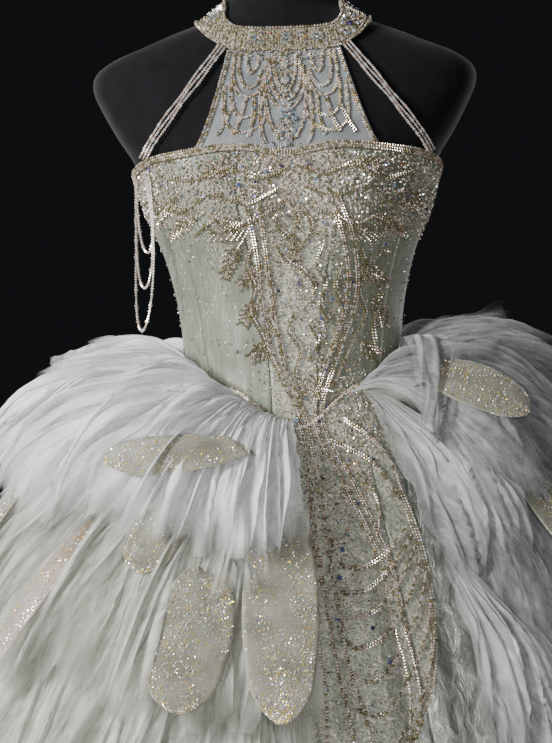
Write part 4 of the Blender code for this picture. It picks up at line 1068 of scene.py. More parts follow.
# Silk net in pleats: where it lies double it hides the jersey, and between the pleats it is sheer.
pleated_net, tree, shader, where = new_material("pleated_silk_net", "#8E9396", 0.7, sheen_weight=0.3,
                                                sheen_roughness=0.4)
pleat = add_node(tree, "Attribute", attribute_name="pleat")
cloud = add_node(tree, "TexNoise", {"Vector": where, "Scale": 40.0, "Detail": 3.0})
tone = add_node(tree, "Math", {0: pleat, 1: cloud}, operation="MULTIPLY")
shade = add_node(tree, "ValToRGB", {"Fac": tone}, [
    (0.05, "#6E7274"), (0.3, "#8E9294"), (0.6, "#B4B7B7")])
sheer = add_node(tree, "MapRange", {"Value": tone, "From Max": 0.5, "To Min": 0.66, "To Max": 0.97})
feed(shader, {"Base Color": shade, "Alpha": sheer})

YOKE_COLUMNS, YOKE_ROWS = 420, 14
across, up = grid_of(YOKE_COLUMNS, YOKE_ROWS)
fold = 0.5 + 0.5 * np.cos(2 * math.pi * (YOKE_PLEATS * across + 0.6 * np.sin(7 * across)))
place, _ = yoke_place(across, up, PLEAT_DEEP * fold)
mesh = grid_mesh("yoke_pleats", place, YOKE_COLUMNS, YOKE_ROWS, pleat=fold)
yoke = finish_object("yoke_pleats", mesh, pleated_net, "yoke_net")


def yoke_beads(line, pitch, size, tints=(0.0, 0.95), out=0.0012):
    """A string of beads on the yoke, through points that are given across and up."""
    line = curve_through(line, 60).clip(0.0, 0.985)
    place, facing = yoke_place(line[:, 0], line[:, 1], out)
    at, along = evenly(place, pitch)
    passed = passed_along(place)
    facing = between((np.arange(len(at)) + 0.5) / len(at) * passed[-1], passed, facing)
    return strung(at, facing, along, size, tints)


yoke_work = [yoke_beads(np.array(line) + (aside, aside), 0.0028, 0.0030) for line in YOKE_SWAGS
             for aside in (-0.006, 0.006)]
for aside in (0.006, 0.028):
    yoke_work.append(yoke_beads([(aside, 0.0), (aside, 0.5), (aside, 1.0)], 0.0029, 0.0029))
    yoke_work.append(yoke_beads([(1 - aside, 0.0), (1 - aside, 0.5), (1 - aside, 1.0)], 0.0029, 0.0029))
across = chance.normal(0.5, 0.028, 260)
up = chance.uniform(0.02, 0.98, 260)
yoke_work.append(loose(*yoke_place(across, up, 0.0014), 0.0018, 0.0034))
across, up = chance.uniform(0.05, 0.95, 170), 1 - abs(chance.normal(0, 0.07, 170))
yoke_work.append(loose(*yoke_place(across, up, 0.0012), 0.0018, 0.0032))
sewn("yoke_beads", SEED, joined(yoke_work), beads)

PETAL_STONES = 9
stone_spots = [(0.50, 0.86, 0.0070, 0.55), (0.50, 0.70, 0.0098, 0.10), (0.50, 0.40, 0.0060, 0.55),
               (0.50, 0.06, 0.0062, 0.05), (0.45, 0.30, 0.0062, 0.05), (0.55, 0.30, 0.0062, 0.4),
               (0.46, 0.17, 0.0050, 0.1), (0.54, 0.18, 0.0050, 0.05)]
for k in range(PETAL_STONES):
    way = 2 * math.pi * k / PETAL_STONES
    stone_spots.append((0.5 + 0.030 * math.cos(way), 0.40 + 0.075 * math.sin(way), 0.0046, 0.1 + 0.05 * k))
stone_spots = np.array(stone_spots)
place, facing = yoke_place(stone_spots[:, 0], stone_spots[:, 1], 0.0026)
sewn("yoke_stones", STONE, laid(place, facing, stone_spots[:, 2], stone_spots[:, 3]), crystal)

# ---- The collar's stones ----
# A brooch of stones round a dark one at the right of the collar, and smaller rosettes along it. They are
# sewn over the beads, in settings that hold them a little proud.
BROOCH_ANGLE = 50
ROSETTES = [(BROOCH_ANGLE, 0.5, 0.0042, 1.0), (-58, 0.55, 0.0028, 0.8), (-24, 0.45, 0.0024, 0.7),
            (2, 0.5, 0.0026, 0.75), (27, 0.5, 0.0024, 0.7), (78, 0.5, 0.0026, 0.7), (-88, 0.5, 0.0026, 0.7),
            (125, 0.5, 0.0024, 0.7), (-125, 0.5, 0.0024, 0.7)]
spots = []
for degrees, up, ring, scale in ROSETTES:
    spots.append((degrees, up, ring * 1.6, 0.95 if scale == 1.0 else 0.4))
    for k in range(8):
        way = 2 * math.pi * k / 8
        spots.append((degrees + math.degrees(ring * 1.9 * math.cos(way) / 0.075),
                      up + ring * 1.9 * math.sin(way) / COLLAR_TALL,
                      ring * 1.15, (0.05, 0.55, 0.35)[k % 3]))
spots = np.array(spots)
place, facing = collar_place(np.radians(spots[:, 0]), spots[:, 1], 0.0042)
sewn("collar_stones", STONE, laid(place, facing, spots[:, 2], spots[:, 3]), crystal,
     nodes="collar_brooch")

# ---- The straps and the side loops ----
# Strings of white and silver beads, three on each side from the collar to the bodice's top corners,
# and three that hang in loops under the left arm. Each is threaded on nylon and knotted at its ends.
STRAND_APART, STRAND_CLEAR = 0.0038, 0.0012
STRAP_TOP_X, STRAP_FOOT_X, STRAP_FOOT_ANGLE = 0.066, 0.150, 60
STRAP_HEAD_BELOW, STRAP_FOOT_ABOVE = 0.0017, 0.0032
STRAP_ASIDE = (0.83, 0.55)


def strand_beads(line, size, every, larger):
    """Pale beads on a free string: one in three is silver, and some are larger."""
    work = beads_along(line, 0.0031, size, (0.725, 0.835), flat=False)
    work.tint[::3] = 0.5
    work.size[::every] *= larger
    return work


def form_angle(x, height):
    """The angle at which the form's front is this far to one side."""
    angle = np.zeros(len(x))
    for _ in range(30):
        angle = angle + (x - form_point(angle, height)[:, 0]) / CHEST_RADIUS
    return angle


first = form_angle(np.array([STRAP_TOP_X]), COLLAR_FOOT[2:3, 1])
high = collar_foot(first)[0] - STRAP_HEAD_BELOW
low = bodice_top(np.radians([STRAP_FOOT_ANGLE]))[0] + STRAP_FOOT_ABOVE
for side, word in ((-1, "left"), (1, "right")):
    strings = []
    for k in range(3):
        beside = (k - 1) * STRAND_APART
        t = np.linspace(0, 1, 40)
        wander = 0.0007 * np.sin(2 * math.pi * (t * 2.3 + 0.31 * k)) * np.sin(math.pi * t)
        x = STRAP_TOP_X + (STRAP_FOOT_X - STRAP_TOP_X) * t + (beside + wander) * STRAP_ASIDE[0]
        height = high + (low - high) * t + (beside + wander) * STRAP_ASIDE[1]
        over_band = np.clip((t - 0.93) / 0.05, 0, 1)
        height = height - 0.0055 * over_band
        line = lifted(form_point, form_angle(side * x, height), height,
                      STRAND_RADIUS + EASE + STRAND_CLEAR + 0.0040 * over_band)
        strings.append(strand_beads(line, 0.0035, 5, 1.25))
    sewn(f"strap_{word}_beads", CUT_BEAD, joined(strings), beads, (1.0, 1.25, 1.0),
         nodes=[f"strap_{word}_strand_{k + 1}" for k in range(3)])

SIDE_LOOPS = [(0.010, 1.186), (0.019, 1.148), (0.028, 1.102)]
LOOP_ANGLE, LOOP_RADIUS, LOOP_APART, LOOP_BELOW, LOOP_CLEAR = -78, 0.16, 0.0035, 0.004, 0.0007
strings = []
for k, (width, lowest) in enumerate(SIDE_LOOPS):
    turn = np.linspace(0, math.pi, 60)
    hang = np.sin(turn).clip(0)
    beside = np.cos(turn) * width + LOOP_APART * (k - 1)
    angle = math.radians(LOOP_ANGLE) - beside / LOOP_RADIUS
    high = bodice_top(angle) - TRIM_TALL - LOOP_BELOW
    line = lifted(form_point, angle, high, EASE + BODICE_WALL + STRAND_RADIUS + LOOP_CLEAR)
    line[:, 2] -= (high - lowest) * hang**0.8
    front_leg = hang**0.6 * np.sin(turn / 2) ** 2
    line += np.outer(front_leg, (0.016, -0.012, 0)) - np.outer(LOOP_APART * k * hang, (1, 0, 0))
    strings.append(strand_beads(line, 0.0034, 6, 1.35))
sewn("side_loop_beads", CUT_BEAD, joined(strings), beads, (1.0, 1.2, 1.0),
     nodes=[f"side_loop_{k + 1}" for k in range(3)])

# ---- The buttons ----
# Shank buttons covered in the gown's satin: six down the centre back, from below the top edge to above
# the waist, and one that closes the collar.
BUTTONS, BUTTON_RADIUS, BUTTON_TALL, BUTTON_CLEAR = 6, 0.0055, 0.0042, 0.0009
low, high = WAIST_HEIGHT + 0.032, bodice_top(np.array([math.pi]))[0] - 0.022
places = [(f"back_button_{i + 1}", low + (high - low) * i / (BUTTONS - 1), BODICE_WALL)
          for i in range(BUTTONS)]
places.append(("collar_button", COLLAR_FOOT[-1, 1] + COLLAR_TALL / 2, COLLAR_WALL))
profile = [(0.0008, BUTTON_TALL), (0.0022, BUTTON_TALL * 0.97), (0.0036, BUTTON_TALL * 0.84),
           (0.0048, BUTTON_TALL * 0.60), (0.0054, BUTTON_TALL * 0.36), (BUTTON_RADIUS, BUTTON_TALL * 0.22),
           (0.0051, BUTTON_TALL * 0.08), (0.0044, 0)]
for name, height, wall in places:
    turn, at = np.array([math.pi]), np.array([height])
    normal = Vector(normal_at(form_point, turn, at)[0])
    mesh = turned(name + "_covered", profile, 28)
    mesh.transform(Matrix.Translation(lifted(form_point, turn, at, EASE + wall + BUTTON_CLEAR)[0])
                   @ normal.to_track_quat("Z", "Y").to_matrix().to_4x4())
    finish_object(name + "_covered", mesh, satin, name)

# ---- The tulle tiers ----
# Three tiers of crinkled silk tulle and a long overskirt, each cut as two flared pieces, gathered
# tightly into the seam above and left raw at the free edge. Plies of different lengths lie on each other.
Fall = namedtuple("Fall", "share side_out side_up front_out front_up back_out back_up")
Tier = namedtuple("Tier", "name seam_drop left_front left_sweep right_front right_sweep waves wave_depth "
                          "right_lift falls")
TIERS = [
    Tier("tier_1", 0.002, -3, 5, 33, 10, 10, 0.016, 0.016, [
        (0.14, 0.150, 1.080, 0.124, 1.000, 0.115, 1.068), (0.32, 0.205, 1.070, 0.146, 0.985, 0.162, 1.058),
        (0.55, 0.262, 1.038, 0.168, 0.955, 0.212, 1.022), (0.78, 0.306, 0.985, 0.188, 0.912, 0.255, 0.965),
        (1.00, 0.335, 0.915, 0.202, 0.860, 0.285, 0.895)]),
    Tier("tier_2", 0.080, -2, 8, 46, -4, 10, 0.017, 0.010, [
        (0.20, 0.215, 0.980, 0.142, 0.905, 0.180, 0.968), (0.42, 0.280, 0.945, 0.172, 0.860, 0.232, 0.925),
        (0.62, 0.330, 0.882, 0.200, 0.805, 0.276, 0.868), (0.82, 0.367, 0.815, 0.224, 0.748, 0.313, 0.800),
        (1.00, 0.395, 0.748, 0.244, 0.692, 0.342, 0.735)]),
    Tier("tier_3", 0.160, -1, 8, 49, -6, 10, 0.018, 0.004, [
        (0.20, 0.258, 0.885, 0.161, 0.800, 0.215, 0.875), (0.42, 0.320, 0.825, 0.190, 0.720, 0.265, 0.812),
        (0.62, 0.372, 0.745, 0.214, 0.650, 0.314, 0.732), (0.82, 0.415, 0.665, 0.239, 0.585, 0.356, 0.655),
        (1.00, 0.446, 0.590, 0.262, 0.525, 0.390, 0.585)]),
    Tier("overskirt", 0.250, 0, 6, 47, -5, 12, 0.022, 0.0, [
        (0.10, 0.285, 0.780, 0.186, 0.708, 0.232, 0.775), (0.24, 0.355, 0.685, 0.221, 0.604, 0.300, 0.680),
        (0.38, 0.418, 0.560, 0.256, 0.500, 0.366, 0.555), (0.56, 0.498, 0.405, 0.306, 0.378, 0.458, 0.405),
        (0.78, 0.596, 0.210, 0.380, 0.198, 0.570, 0.210), (1.00, 0.680, 0.012, 0.450, 0.012, 0.670, 0.012)]),
]
TULLE_WALL, TIER_CLEAR, HEM_UNEVEN, WAVE_GROWTH, SWEEP_FADE = 0.0012, 0.0011, 0.07, 0.8, 3
Crease = namedtuple("Crease", "degrees start end wide deep")
CREASES = {  # a ridge where deep is more than 0, a trough where it is less
    "tier_1_left": [(-14, 0.10, 0.95, 2.2, -0.006), (-27, 0.05, 0.80, 2.8, 0.006),
                    (-41, 0.20, 1.0, 3.0, -0.008), (-58, 0.05, 0.75, 2.6, 0.007),
                    (-73, 0.15, 1.0, 3.2, -0.007), (-90, 0.05, 0.85, 2.4, 0.006),
                    (-108, 0.2, 1.0, 3.0, -0.006), (-131, 0.1, 0.9, 3.0, 0.006),
                    (-155, 0.1, 1.0, 2.6, -0.006)],
    "tier_1_right": [(38, 0.10, 0.9, 2.0, 0.008), (47, 0.05, 1.0, 2.4, -0.007), (61, 0.10, 0.85, 3.0, 0.008),
                     (76, 0.2, 1.0, 2.6, -0.008), (92, 0.05, 0.8, 3.0, 0.006), (112, 0.2, 1.0, 3.0, -0.006),
                     (137, 0.1, 0.9, 2.6, 0.006), (160, 0.1, 1.0, 3.0, -0.005)],
    "tier_2_left": [(-9, 0.2, 1.0, 2.0, -0.005), (-22, 0.1, 0.9, 2.4, 0.006), (-38, 0.2, 1.0, 2.6, -0.007),
                    (-55, 0.3, 0.9, 2.4, 0.006), (-78, 0.2, 1.0, 3.0, -0.006), (-104, 0.2, 0.9, 3.0, 0.006),
                    (-140, 0.2, 1.0, 3.0, -0.006)],
    "tier_2_right": [(47, 0.2, 1.0, 2.0, -0.006), (58, 0.1, 0.9, 2.4, 0.006), (73, 0.2, 1.0, 2.6, -0.007),
                     (95, 0.3, 0.9, 2.4, 0.006), (120, 0.2, 1.0, 3.0, -0.006), (150, 0.2, 0.9, 3.0, 0.005)],
    "tier_3_left": [(-12, 0.2, 1.0, 2.0, 0.005), (-26, 0.1, 0.9, 2.4, -0.006), (-45, 0.2, 1.0, 2.6, 0.006),
                    (-70, 0.3, 0.9, 2.4, -0.006), (-100, 0.2, 1.0, 3.0, 0.006),
                    (-145, 0.2, 0.9, 3.0, -0.006)],
    "tier_3_right": [(50, 0.2, 1.0, 2.0, -0.006), (64, 0.1, 0.9, 2.4, 0.006), (82, 0.2, 1.0, 2.6, -0.006),
                     (110, 0.3, 0.9, 2.4, 0.006), (150, 0.2, 1.0, 3.0, -0.006)],
    "overskirt_left": [(-8, 0.1, 1.0, 1.8, -0.007), (-19, 0.2, 1.0, 2.2, 0.007), (-35, 0.1, 0.8, 2.4, -0.009),
                       (-52, 0.2, 1.0, 2.6, 0.008), (-75, 0.1, 0.9, 2.6, -0.008), (-98, 0.2, 1.0, 3.0, 0.008),
                       (-125, 0.1, 0.9, 3.0, -0.008), (-160, 0.2, 1.0, 3.0, 0.007)],
    "overskirt_right": [(46, 0.1, 1.0, 1.8, -0.007), (56, 0.2, 1.0, 2.2, 0.007), (70, 0.1, 0.8, 2.4, -0.009),
                        (88, 0.2, 1.0, 2.6, 0.008), (110, 0.1, 0.9, 2.6, -0.008),
                        (140, 0.2, 1.0, 3.0, 0.008)],
}


def tier_knots(tier, angle):
    """The rows of a tier's fall in a direction: shares of its length, reaches and heights."""
    side = np.sin(angle) ** 2
    front = np.cos(angle) > 0
    lift = tier.right_lift * side * (angle > 0)
    seam = lifted(skirt_point, angle, waist_seam(angle) - tier.seam_drop, SKIRT_WALL + TIER_CLEAR)
    outs, ups = [np.hypot(seam[:, 0], seam[:, 1])], [seam[:, 2]]
    for row in tier.falls:
        fall = Fall(*row)
        out, up = np.where(front, fall.front_out, fall.back_out), np.where(front, fall.front_up, fall.back_up)
        outs.append(fall.side_out * side + out * (1 - side))
        ups.append(fall.side_up * side + up * (1 - side) + lift * min(1.0, fall.share * 3))
    return np.array([0] + [row[0] for row in tier.falls]), np.array(outs), np.array(ups)


def tier_point(tier, angle, share, lift=0.0, wave=0.0, aside=0.0):
    """Points on a tier, moved along the normal of its fall, and sideways by a length."""
    shares, outs, ups = tier_knots(tier, angle)
    out, up = through(shares, outs, share), through(shares, ups, share)
    near, far = np.maximum(0.0, share - 0.01), np.minimum(1.0, share + 0.01)
    run = through(shares, outs, far) - through(shares, outs, near)
    rise = through(shares, ups, far) - through(shares, ups, near)
    long = np.hypot(run, rise)
    move = lift + wave * tier.wave_depth * share**WAVE_GROWTH
    out = out - rise / long * move
    up = up + run / long * move
    turn = angle + aside / out
    return np.stack([out * np.sin(turn), -out * np.cos(turn), up], axis=-1)


def gather_wave(tier, along, side):
    """The broad waves that the gathers throw, along a tier."""
    phase = 2 * math.pi * along
    drift = 0.8 * np.sin(2.3 * phase + 1.7 * side + tier.waves)
    depth = 0.78 + 0.22 * np.sin(3.1 * phase + 0.9 + side)
    return depth * np.sin(tier.waves * phase + drift)


def tier_span(tier, side):
    """The directions in which a side of a tier starts and ends."""
    if side < 0:
        return -math.pi, math.radians(tier.left_front)
    return math.radians(tier.right_front), math.pi


def tier_long(tier, angle):
    """How much of its full length a tier has, so that the free edge is uneven."""
    if tier.name == "overskirt":
        return 1 + 0 * angle
    return 1 - HEM_UNEVEN * (0.5 + 0.5 * np.sin(9 * angle + tier.waves))


def front_sweep(tier, side, across, share):
    """How far a tier's front edge has swung round as it falls."""
    if side < 0:
        return math.radians(tier.left_sweep) * across**SWEEP_FADE * share
    return math.radians(tier.right_sweep) * (1 - across) ** SWEEP_FADE * share


def crest_wave(phase):
    """A pleat's section, from -1 in its wide trough to 0 on its narrow crest."""
    return (0.5 + 0.5 * np.cos(phase)) ** 1.7 - 1


def crest_share(wide, small, fine):
    """How near to a fold's crest each point lies, from 0 to 1, over folds of three sizes."""
    return np.clip(1 + 0.46 * crest_wave(wide) + 0.30 * crest_wave(small) + 0.16 * crest_wave(fine), 0, 1)


def crinkles(tier, side, across, share, pleats, folds):
    """How the gathers lie: pleats that are fine at the seam, and folds that open and lean as they fall."""
    turn = 2 * math.pi * (across + 0.010 * np.sin(14.5 * across + side)
                          + 0.006 * np.sin(32 * across + tier.waves)
                          + 0.008 * share * np.sin(19.5 * across + 2.2 * share))
    bend = 1.1 * np.sin(4.2 * share + 3 * turn) + 0.7 * np.sin(8.0 * share + 7 * turn + side)
    wide = folds * turn + 1.3 * np.sin(3.7 * turn + side) + bend
    small = pleats * turn + 1.5 * np.sin(5.3 * turn + tier.waves) + 1.2 * bend
    fine = 2.4 * pleats * turn + 2.0 * np.sin(9.1 * turn) + 0.8 * bend
    grown = np.clip(share, 0, 1)
    uneven = 0.62 + 0.38 * np.sin(2.9 * turn + 1.5 * side) * np.sin(7.7 * turn + 1.1 + 2 * share)
    lift = 0.0085 * grown * uneven * crest_wave(wide) + (0.0010 + 0.0016 * grown) * crest_wave(small)
    lift = (lift + 0.0006 * (1 - 0.5 * grown) * crest_wave(fine)) * np.minimum(1, 0.15 + share * 6)
    aside = (0.0065 * grown * uneven * np.sin(wide + 0.9)
             + 0.0012 * np.minimum(1, 3 * share) * np.sin(small + 0.5))
    crest = crest_share(wide, small, fine)
    return lift, aside, crest


def fewer_plies_and_painted_shade(angle):
    """Where the tulle lies in fewer plies, so that more dark shows through, and is painted darker as shade: 1
    at the right, 0 elsewhere.
    """
    degrees = np.degrees(angle)
    return np.clip((degrees - 34) / 16, 0, 1) * np.clip((168 - degrees) / 60, 0, 1)


# Silk tulle, crinkled by hand: matt and soft, and nearly clear where it lies in one layer or is frayed. Its
# colour is whiter on the fold crests, where a fold lies double, and darker in the troughs between them,
# which is painted shade; where the mark few is set it is drawn darker still, also painted shade. Its mesh
# is under 1 mm, so it is drawn as threads about 2 mm apart.
def tulle_finish(name, light, middle, dark, least, thin):
    made, tree, shader, where = new_material(name, light, 0.85, sheen_weight=0.35, sheen_roughness=0.5)
    crest, edge, run, fall, few = [add_node(tree, "Attribute", attribute_name=mark).outputs["Fac"]
                                   for mark in ("crest", "edge", "run", "fall", "few")]
    flat = add_node(tree, "CombineXYZ", {"X": run, "Y": fall})
    stretch = add_node(tree, "Mapping", {"Vector": flat, "Scale": (1.0, 0.10, 1.0)})
    threads = add_node(tree, "TexNoise",
                       {"Vector": stretch, "Scale": 420.0, "Detail": 5.0, "Roughness": 0.65})
    locks = add_node(tree, "TexNoise", {"Vector": stretch, "Scale": 75.0, "Detail": 2.0})
    cloud = add_node(tree, "TexNoise", {"Vector": where, "Scale": 13.0, "Detail": 3.0})
    streak = add_node(tree, "MapRange", {"Value": threads, "From Min": 0.25, "From Max": 0.75})
    lock = add_node(tree, "MapRange", {"Value": locks, "From Min": 0.35, "From Max": 0.65, "To Max": 0.022})
    fray = add_node(tree, "Math", {0: streak, 1: 0.012, 2: lock}, operation="MULTIPLY_ADD")
    inside = add_node(tree, "Math", {0: edge, 1: fray}, operation="SUBTRACT")
    fade = add_node(tree, "MapRange", {"Value": inside, "From Min": -0.024, "From Max": 0.020})
    veil = add_node(tree, "MapRange", {"Value": edge, "From Max": 0.11, "To Min": thin, "To Max": 1.0})
    thick = crest
    for part in (streak, cloud):
        thick = add_node(tree, "Math", {0: thick, 1: part}, operation="ADD")
    # The colour follows crest, threads and cloud: whiter on the crests, where a fold lies double, and darker in
    # the troughs between them, which is painted shade.
    shade = add_node(tree, "MapRange", {"Value": thick, "From Min": 0.7, "From Max": 2.1})
    colour = add_node(tree, "ValToRGB", {"Fac": shade}, [
        (0.0, dark), (0.4, middle), (0.9, light)])
    # Painted shade: where the mark few is set, mostly at the right, the colour turns to this darker ramp.
    painted_shade_ramp = add_node(tree, "ValToRGB", {"Fac": shade}, [
        (0.0, "#484A47"), (0.4, "#747676"), (0.9, "#B3B6B7")])
    colour = add_node(tree, "Mix", {"Factor": few, 6: colour, 7: painted_shade_ramp}, data_type="RGBA")
    sheer = add_node(tree, "MapRange", {"Value": shade, "From Max": 0.8, "To Min": least, "To Max": 1.0})
    open_net = add_node(tree, "MapRange", {"Value": few, "To Min": 1.0, "To Max": 0.62})
    alpha = sheer
    for part in (veil, fade, open_net):
        alpha = add_node(tree, "Math", {0: alpha, 1: part}, operation="MULTIPLY")
    relief = add_node(tree, "Bump", {"Height": threads, "Strength": 0.7, "Distance": 0.0016})
    feed(shader, {"Base Color": colour, "Alpha": alpha, "Normal": relief})
    return made


# All of these are the same silk tulle. The inner, lower, falling and lower top copies are drawn darker, as
# painted shade on the plies underneath, the lower tiers and the right front; the top copy for the first tier's
# ruffles is drawn lighter, as painted light.
tulle_outer = tulle_finish("crinkled_silk_tulle", "#FBFCFB", "#D6D9D1", "#A6A897", 0.78, 0.75)
tulle_inner_painted_shade = tulle_finish("inner_silk_tulle_painted_shade", "#E6E8E0", "#BDBFB1", "#949685", 0.86, 0.85)
tulle_low_painted_shade = tulle_finish("lower_silk_tulle_painted_shade", "#CBCCC2", "#A8A99B", "#7D7E6D", 0.78, 0.70)
tulle_top_painted_light = tulle_finish("top_silk_tulle_painted_light", "#FFFFFF", "#ECEFEF", "#C6C8BC", 0.42, 0.42)
falling_tulle_painted_shade = tulle_finish("falling_silk_tulle_painted_shade", "#D2D4D4", "#B0B3B0", "#82847A", 0.66, 0.55)
low_top_painted_shade = tulle_finish("lower_top_silk_tulle", "#E0E1D9", "#C0C1B5", "#929384", 0.34, 0.36)
Ply = namedtuple("Ply", "word material columns rows pleats folds lift")
PLIES = [
    Ply("tulle", tulle_outer, 350, 28, 62, 24, 0.000),
    Ply("inner", tulle_inner_painted_shade, 180, 16, 40, 20, -0.006),
]


def tier_ply(tier, side, ply):
    """One ply of a tier: its points, its ragged free edge, its folds, and the marks that its material reads."""
    across, up = grid_of(ply.columns, ply.rows)
    start, end = tier_span(tier, side)
    angle = start + (end - start) * across
    to_floor = tier.name == "overskirt"
    seed = side + 2.3 * len(ply.word)
    tufts = 0.5 + 0.5 * np.sin(2 * math.pi * 9.3 * across + 1.8 * np.sin(13 * across + seed))
    ragged = (0.080 * (tufts**0.5 - 0.8) + 0.022 * np.sin(2 * math.pi * 27 * across + 2 * np.sin(31 * across))
              + 0.010 * np.sin(2 * math.pi * 61 * across + seed))
    long = tier_long(tier, angle)
    if not to_floor:
        long = np.minimum(long * (1 + ragged), 1.0)
    share = (1 - up) * long
    angle = angle + front_sweep(tier, side, across, share)
    lift, aside, crest = crinkles(tier, seed, across, share, ply.pleats, ply.folds)
    name = f"{tier.name}_{'left' if side < 0 else 'right'}"
    folds = 0.0
    for crease in (Crease(*row) for row in CREASES[name]):
        taper = np.clip((share - crease.start) / 0.2, 0, 1) * np.clip((crease.end + 0.1 - share) / 0.2, 0, 1)
        away = np.degrees(angle) - crease.degrees - 0.8 * np.sin(3 * share + crease.degrees)
        folds = folds + crease.deep * taper * np.exp(-((away / crease.wide) ** 2))
    grown = np.minimum(1, share * 2)
    lift = lift + np.minimum(folds, 0.0015) * grown + ply.lift * grown
    if to_floor:
        lift = lift * np.clip((1 - share) / 0.07, 0, 1)
    wave = gather_wave(tier, across, side)
    aside = aside - side * 2 * SEAM_GAP + 0.006 * grown * np.cos(2 * math.pi * tier.waves * across)
    place = tier_point(tier, angle, share, lift, wave, aside)
    from_front = (1 - across if side < 0 else across) * (end - start) * 0.2
    edge = np.minimum((long - share) * 0.30 if not to_floor else 0.2,
                      -0.012 + (3.0 if side < 0 else 1.3) * from_front)
    mesh = grid_mesh(f"{name}_{ply.word}", place, ply.columns, ply.rows, crest=crest, edge=edge,
                     run=across * (end - start) * 0.30 + 0.37 * len(ply.word), fall=share * 0.35,
                     few=0 * angle if to_floor else fewer_plies_and_painted_shade(angle))
    finish = ply.material
    # Below the first tier the outer ply takes the darker copy of the tulle, painted shade.
    if ply.word == "tulle":
        finish = tulle_low_painted_shade if tier.name != "tier_1" else tulle_outer
    cloth = finish_object(mesh.name, mesh, finish, name if ply.word == "tulle" else None)


for tier in TIERS:
    for side in (-1, 1):
        for ply in PLIES:
            if tier.name == "overskirt" and ply.word == "tulle":
                ply = ply._replace(rows=38)
            if ply.word == "tulle" or tier.name != "overskirt":
                tier_ply(tier, side, ply)

# Loose ruffles lie on the tiers: each is a length of the same tulle, drawn up small at its root and
# sewn there, so that it fans out and ends in its own raw, frayed edge.
Ruffle = namedtuple("Ruffle", "root_first root_last root_share tip_first tip_last tip_share lift flip")
RUFFLES = {
    "tier_1_left": [
        (-3, -15, 0.00, -1, -23, 0.98, 0.004, 0.010), (-12, -27, 0.00, -19, -48, 0.98, 0.006, 0.012),
        (-24, -44, 0.00, -40, -78, 0.96, 0.006, 0.012), (-40, -68, 0.00, -68, -104, 0.92, 0.006, 0.014),
        (-64, -100, 0.00, -92, -132, 0.84, 0.002, 0.003), (-16, -34, 0.00, -26, -54, 0.62, 0.010, 0.016),
        (-34, -58, 0.00, -52, -84, 0.56, 0.012, 0.016), (-56, -86, 0.00, -76, -108, 0.50, 0.004, 0.006),
        (-66, -92, 0.00, -74, -100, 0.34, 0.004, 0.004), (-58, -88, 0.00, -72, -98, 0.47, 0.004, 0.005),
        (-80, -112, 0.00, -88, -120, 0.60, 0.003, 0.004),
        (-98, -138, 0.00, -118, -158, 0.86, 0.005, 0.012), (-134, -177, 0.00, -146, -178, 0.92, 0.005, 0.012),
        (-112, -160, 0.00, -122, -166, 0.52, 0.009, 0.014)],
    "tier_1_right": [
        (33, 44, 0.00, 42, 66, 0.96, 0.005, 0.012), (42, 60, 0.00, 60, 92, 0.95, 0.006, 0.014),
        (57, 88, 0.00, 84, 118, 0.90, 0.006, 0.014), (35, 52, 0.00, 46, 74, 0.46, 0.012, 0.022),
        (52, 80, 0.00, 68, 98, 0.56, 0.006, 0.010), (66, 98, 0.00, 76, 104, 0.38, 0.006, 0.020),
        (74, 106, 0.00, 82, 112, 0.66, 0.003, 0.004), (84, 128, 0.00, 106, 146, 0.88, 0.002, 0.004),
        (124, 177, 0.00, 136, 178, 0.92, 0.005, 0.012), (98, 146, 0.00, 110, 154, 0.52, 0.009, 0.016)],
    "tier_2_left": [
        (-2, -19, 0.14, 0, -25, 0.96, 0.004, 0.010), (-16, -36, 0.14, -20, -46, 0.98, 0.005, 0.010),
        (-33, -58, 0.14, -40, -72, 0.93, 0.005, 0.012), (-55, -88, 0.14, -66, -104, 0.96, 0.005, 0.012),
        (-84, -130, 0.14, -96, -140, 0.92, 0.005, 0.012), (-126, -178, 0.14, -134, -178, 0.96, 0.005, 0.010),
        (-8, -28, 0.14, -8, -33, 0.60, 0.008, 0.012), (-42, -66, 0.14, -50, -78, 0.66, 0.009, 0.014),
        (-96, -150, 0.14, -104, -156, 0.62, 0.009, 0.014)],
    "tier_2_right": [
        (46, 60, 0.14, 40, 66, 0.97, 0.004, 0.010), (57, 84, 0.14, 60, 94, 0.93, 0.005, 0.012),
        (80, 118, 0.14, 88, 128, 0.95, 0.005, 0.012), (114, 178, 0.14, 122, 178, 0.94, 0.005, 0.010),
        (48, 70, 0.14, 46, 76, 0.58, 0.009, 0.016), (92, 140, 0.14, 98, 148, 0.62, 0.009, 0.014)],
    "tier_3_left": [
        (-1, -24, 0.24, 1, -29, 0.97, 0.004, 0.010), (-20, -50, 0.24, -26, -58, 0.94, 0.005, 0.012),
        (-46, -86, 0.24, -52, -94, 0.97, 0.005, 0.012), (-82, -130, 0.24, -90, -136, 0.93, 0.005, 0.012),
        (-126, -178, 0.24, -132, -178, 0.97, 0.005, 0.010), (-10, -40, 0.24, -12, -46, 0.66, 0.008, 0.012)],
    "tier_3_right": [
        (49, 70, 0.24, 42, 75, 0.97, 0.004, 0.010), (66, 104, 0.24, 70, 110, 0.93, 0.005, 0.012),
        (100, 142, 0.24, 106, 148, 0.96, 0.005, 0.012), (138, 178, 0.24, 144, 178, 0.94, 0.005, 0.010)],
}
RUFFLE_COLUMNS, RUFFLE_ROWS = 92, 20


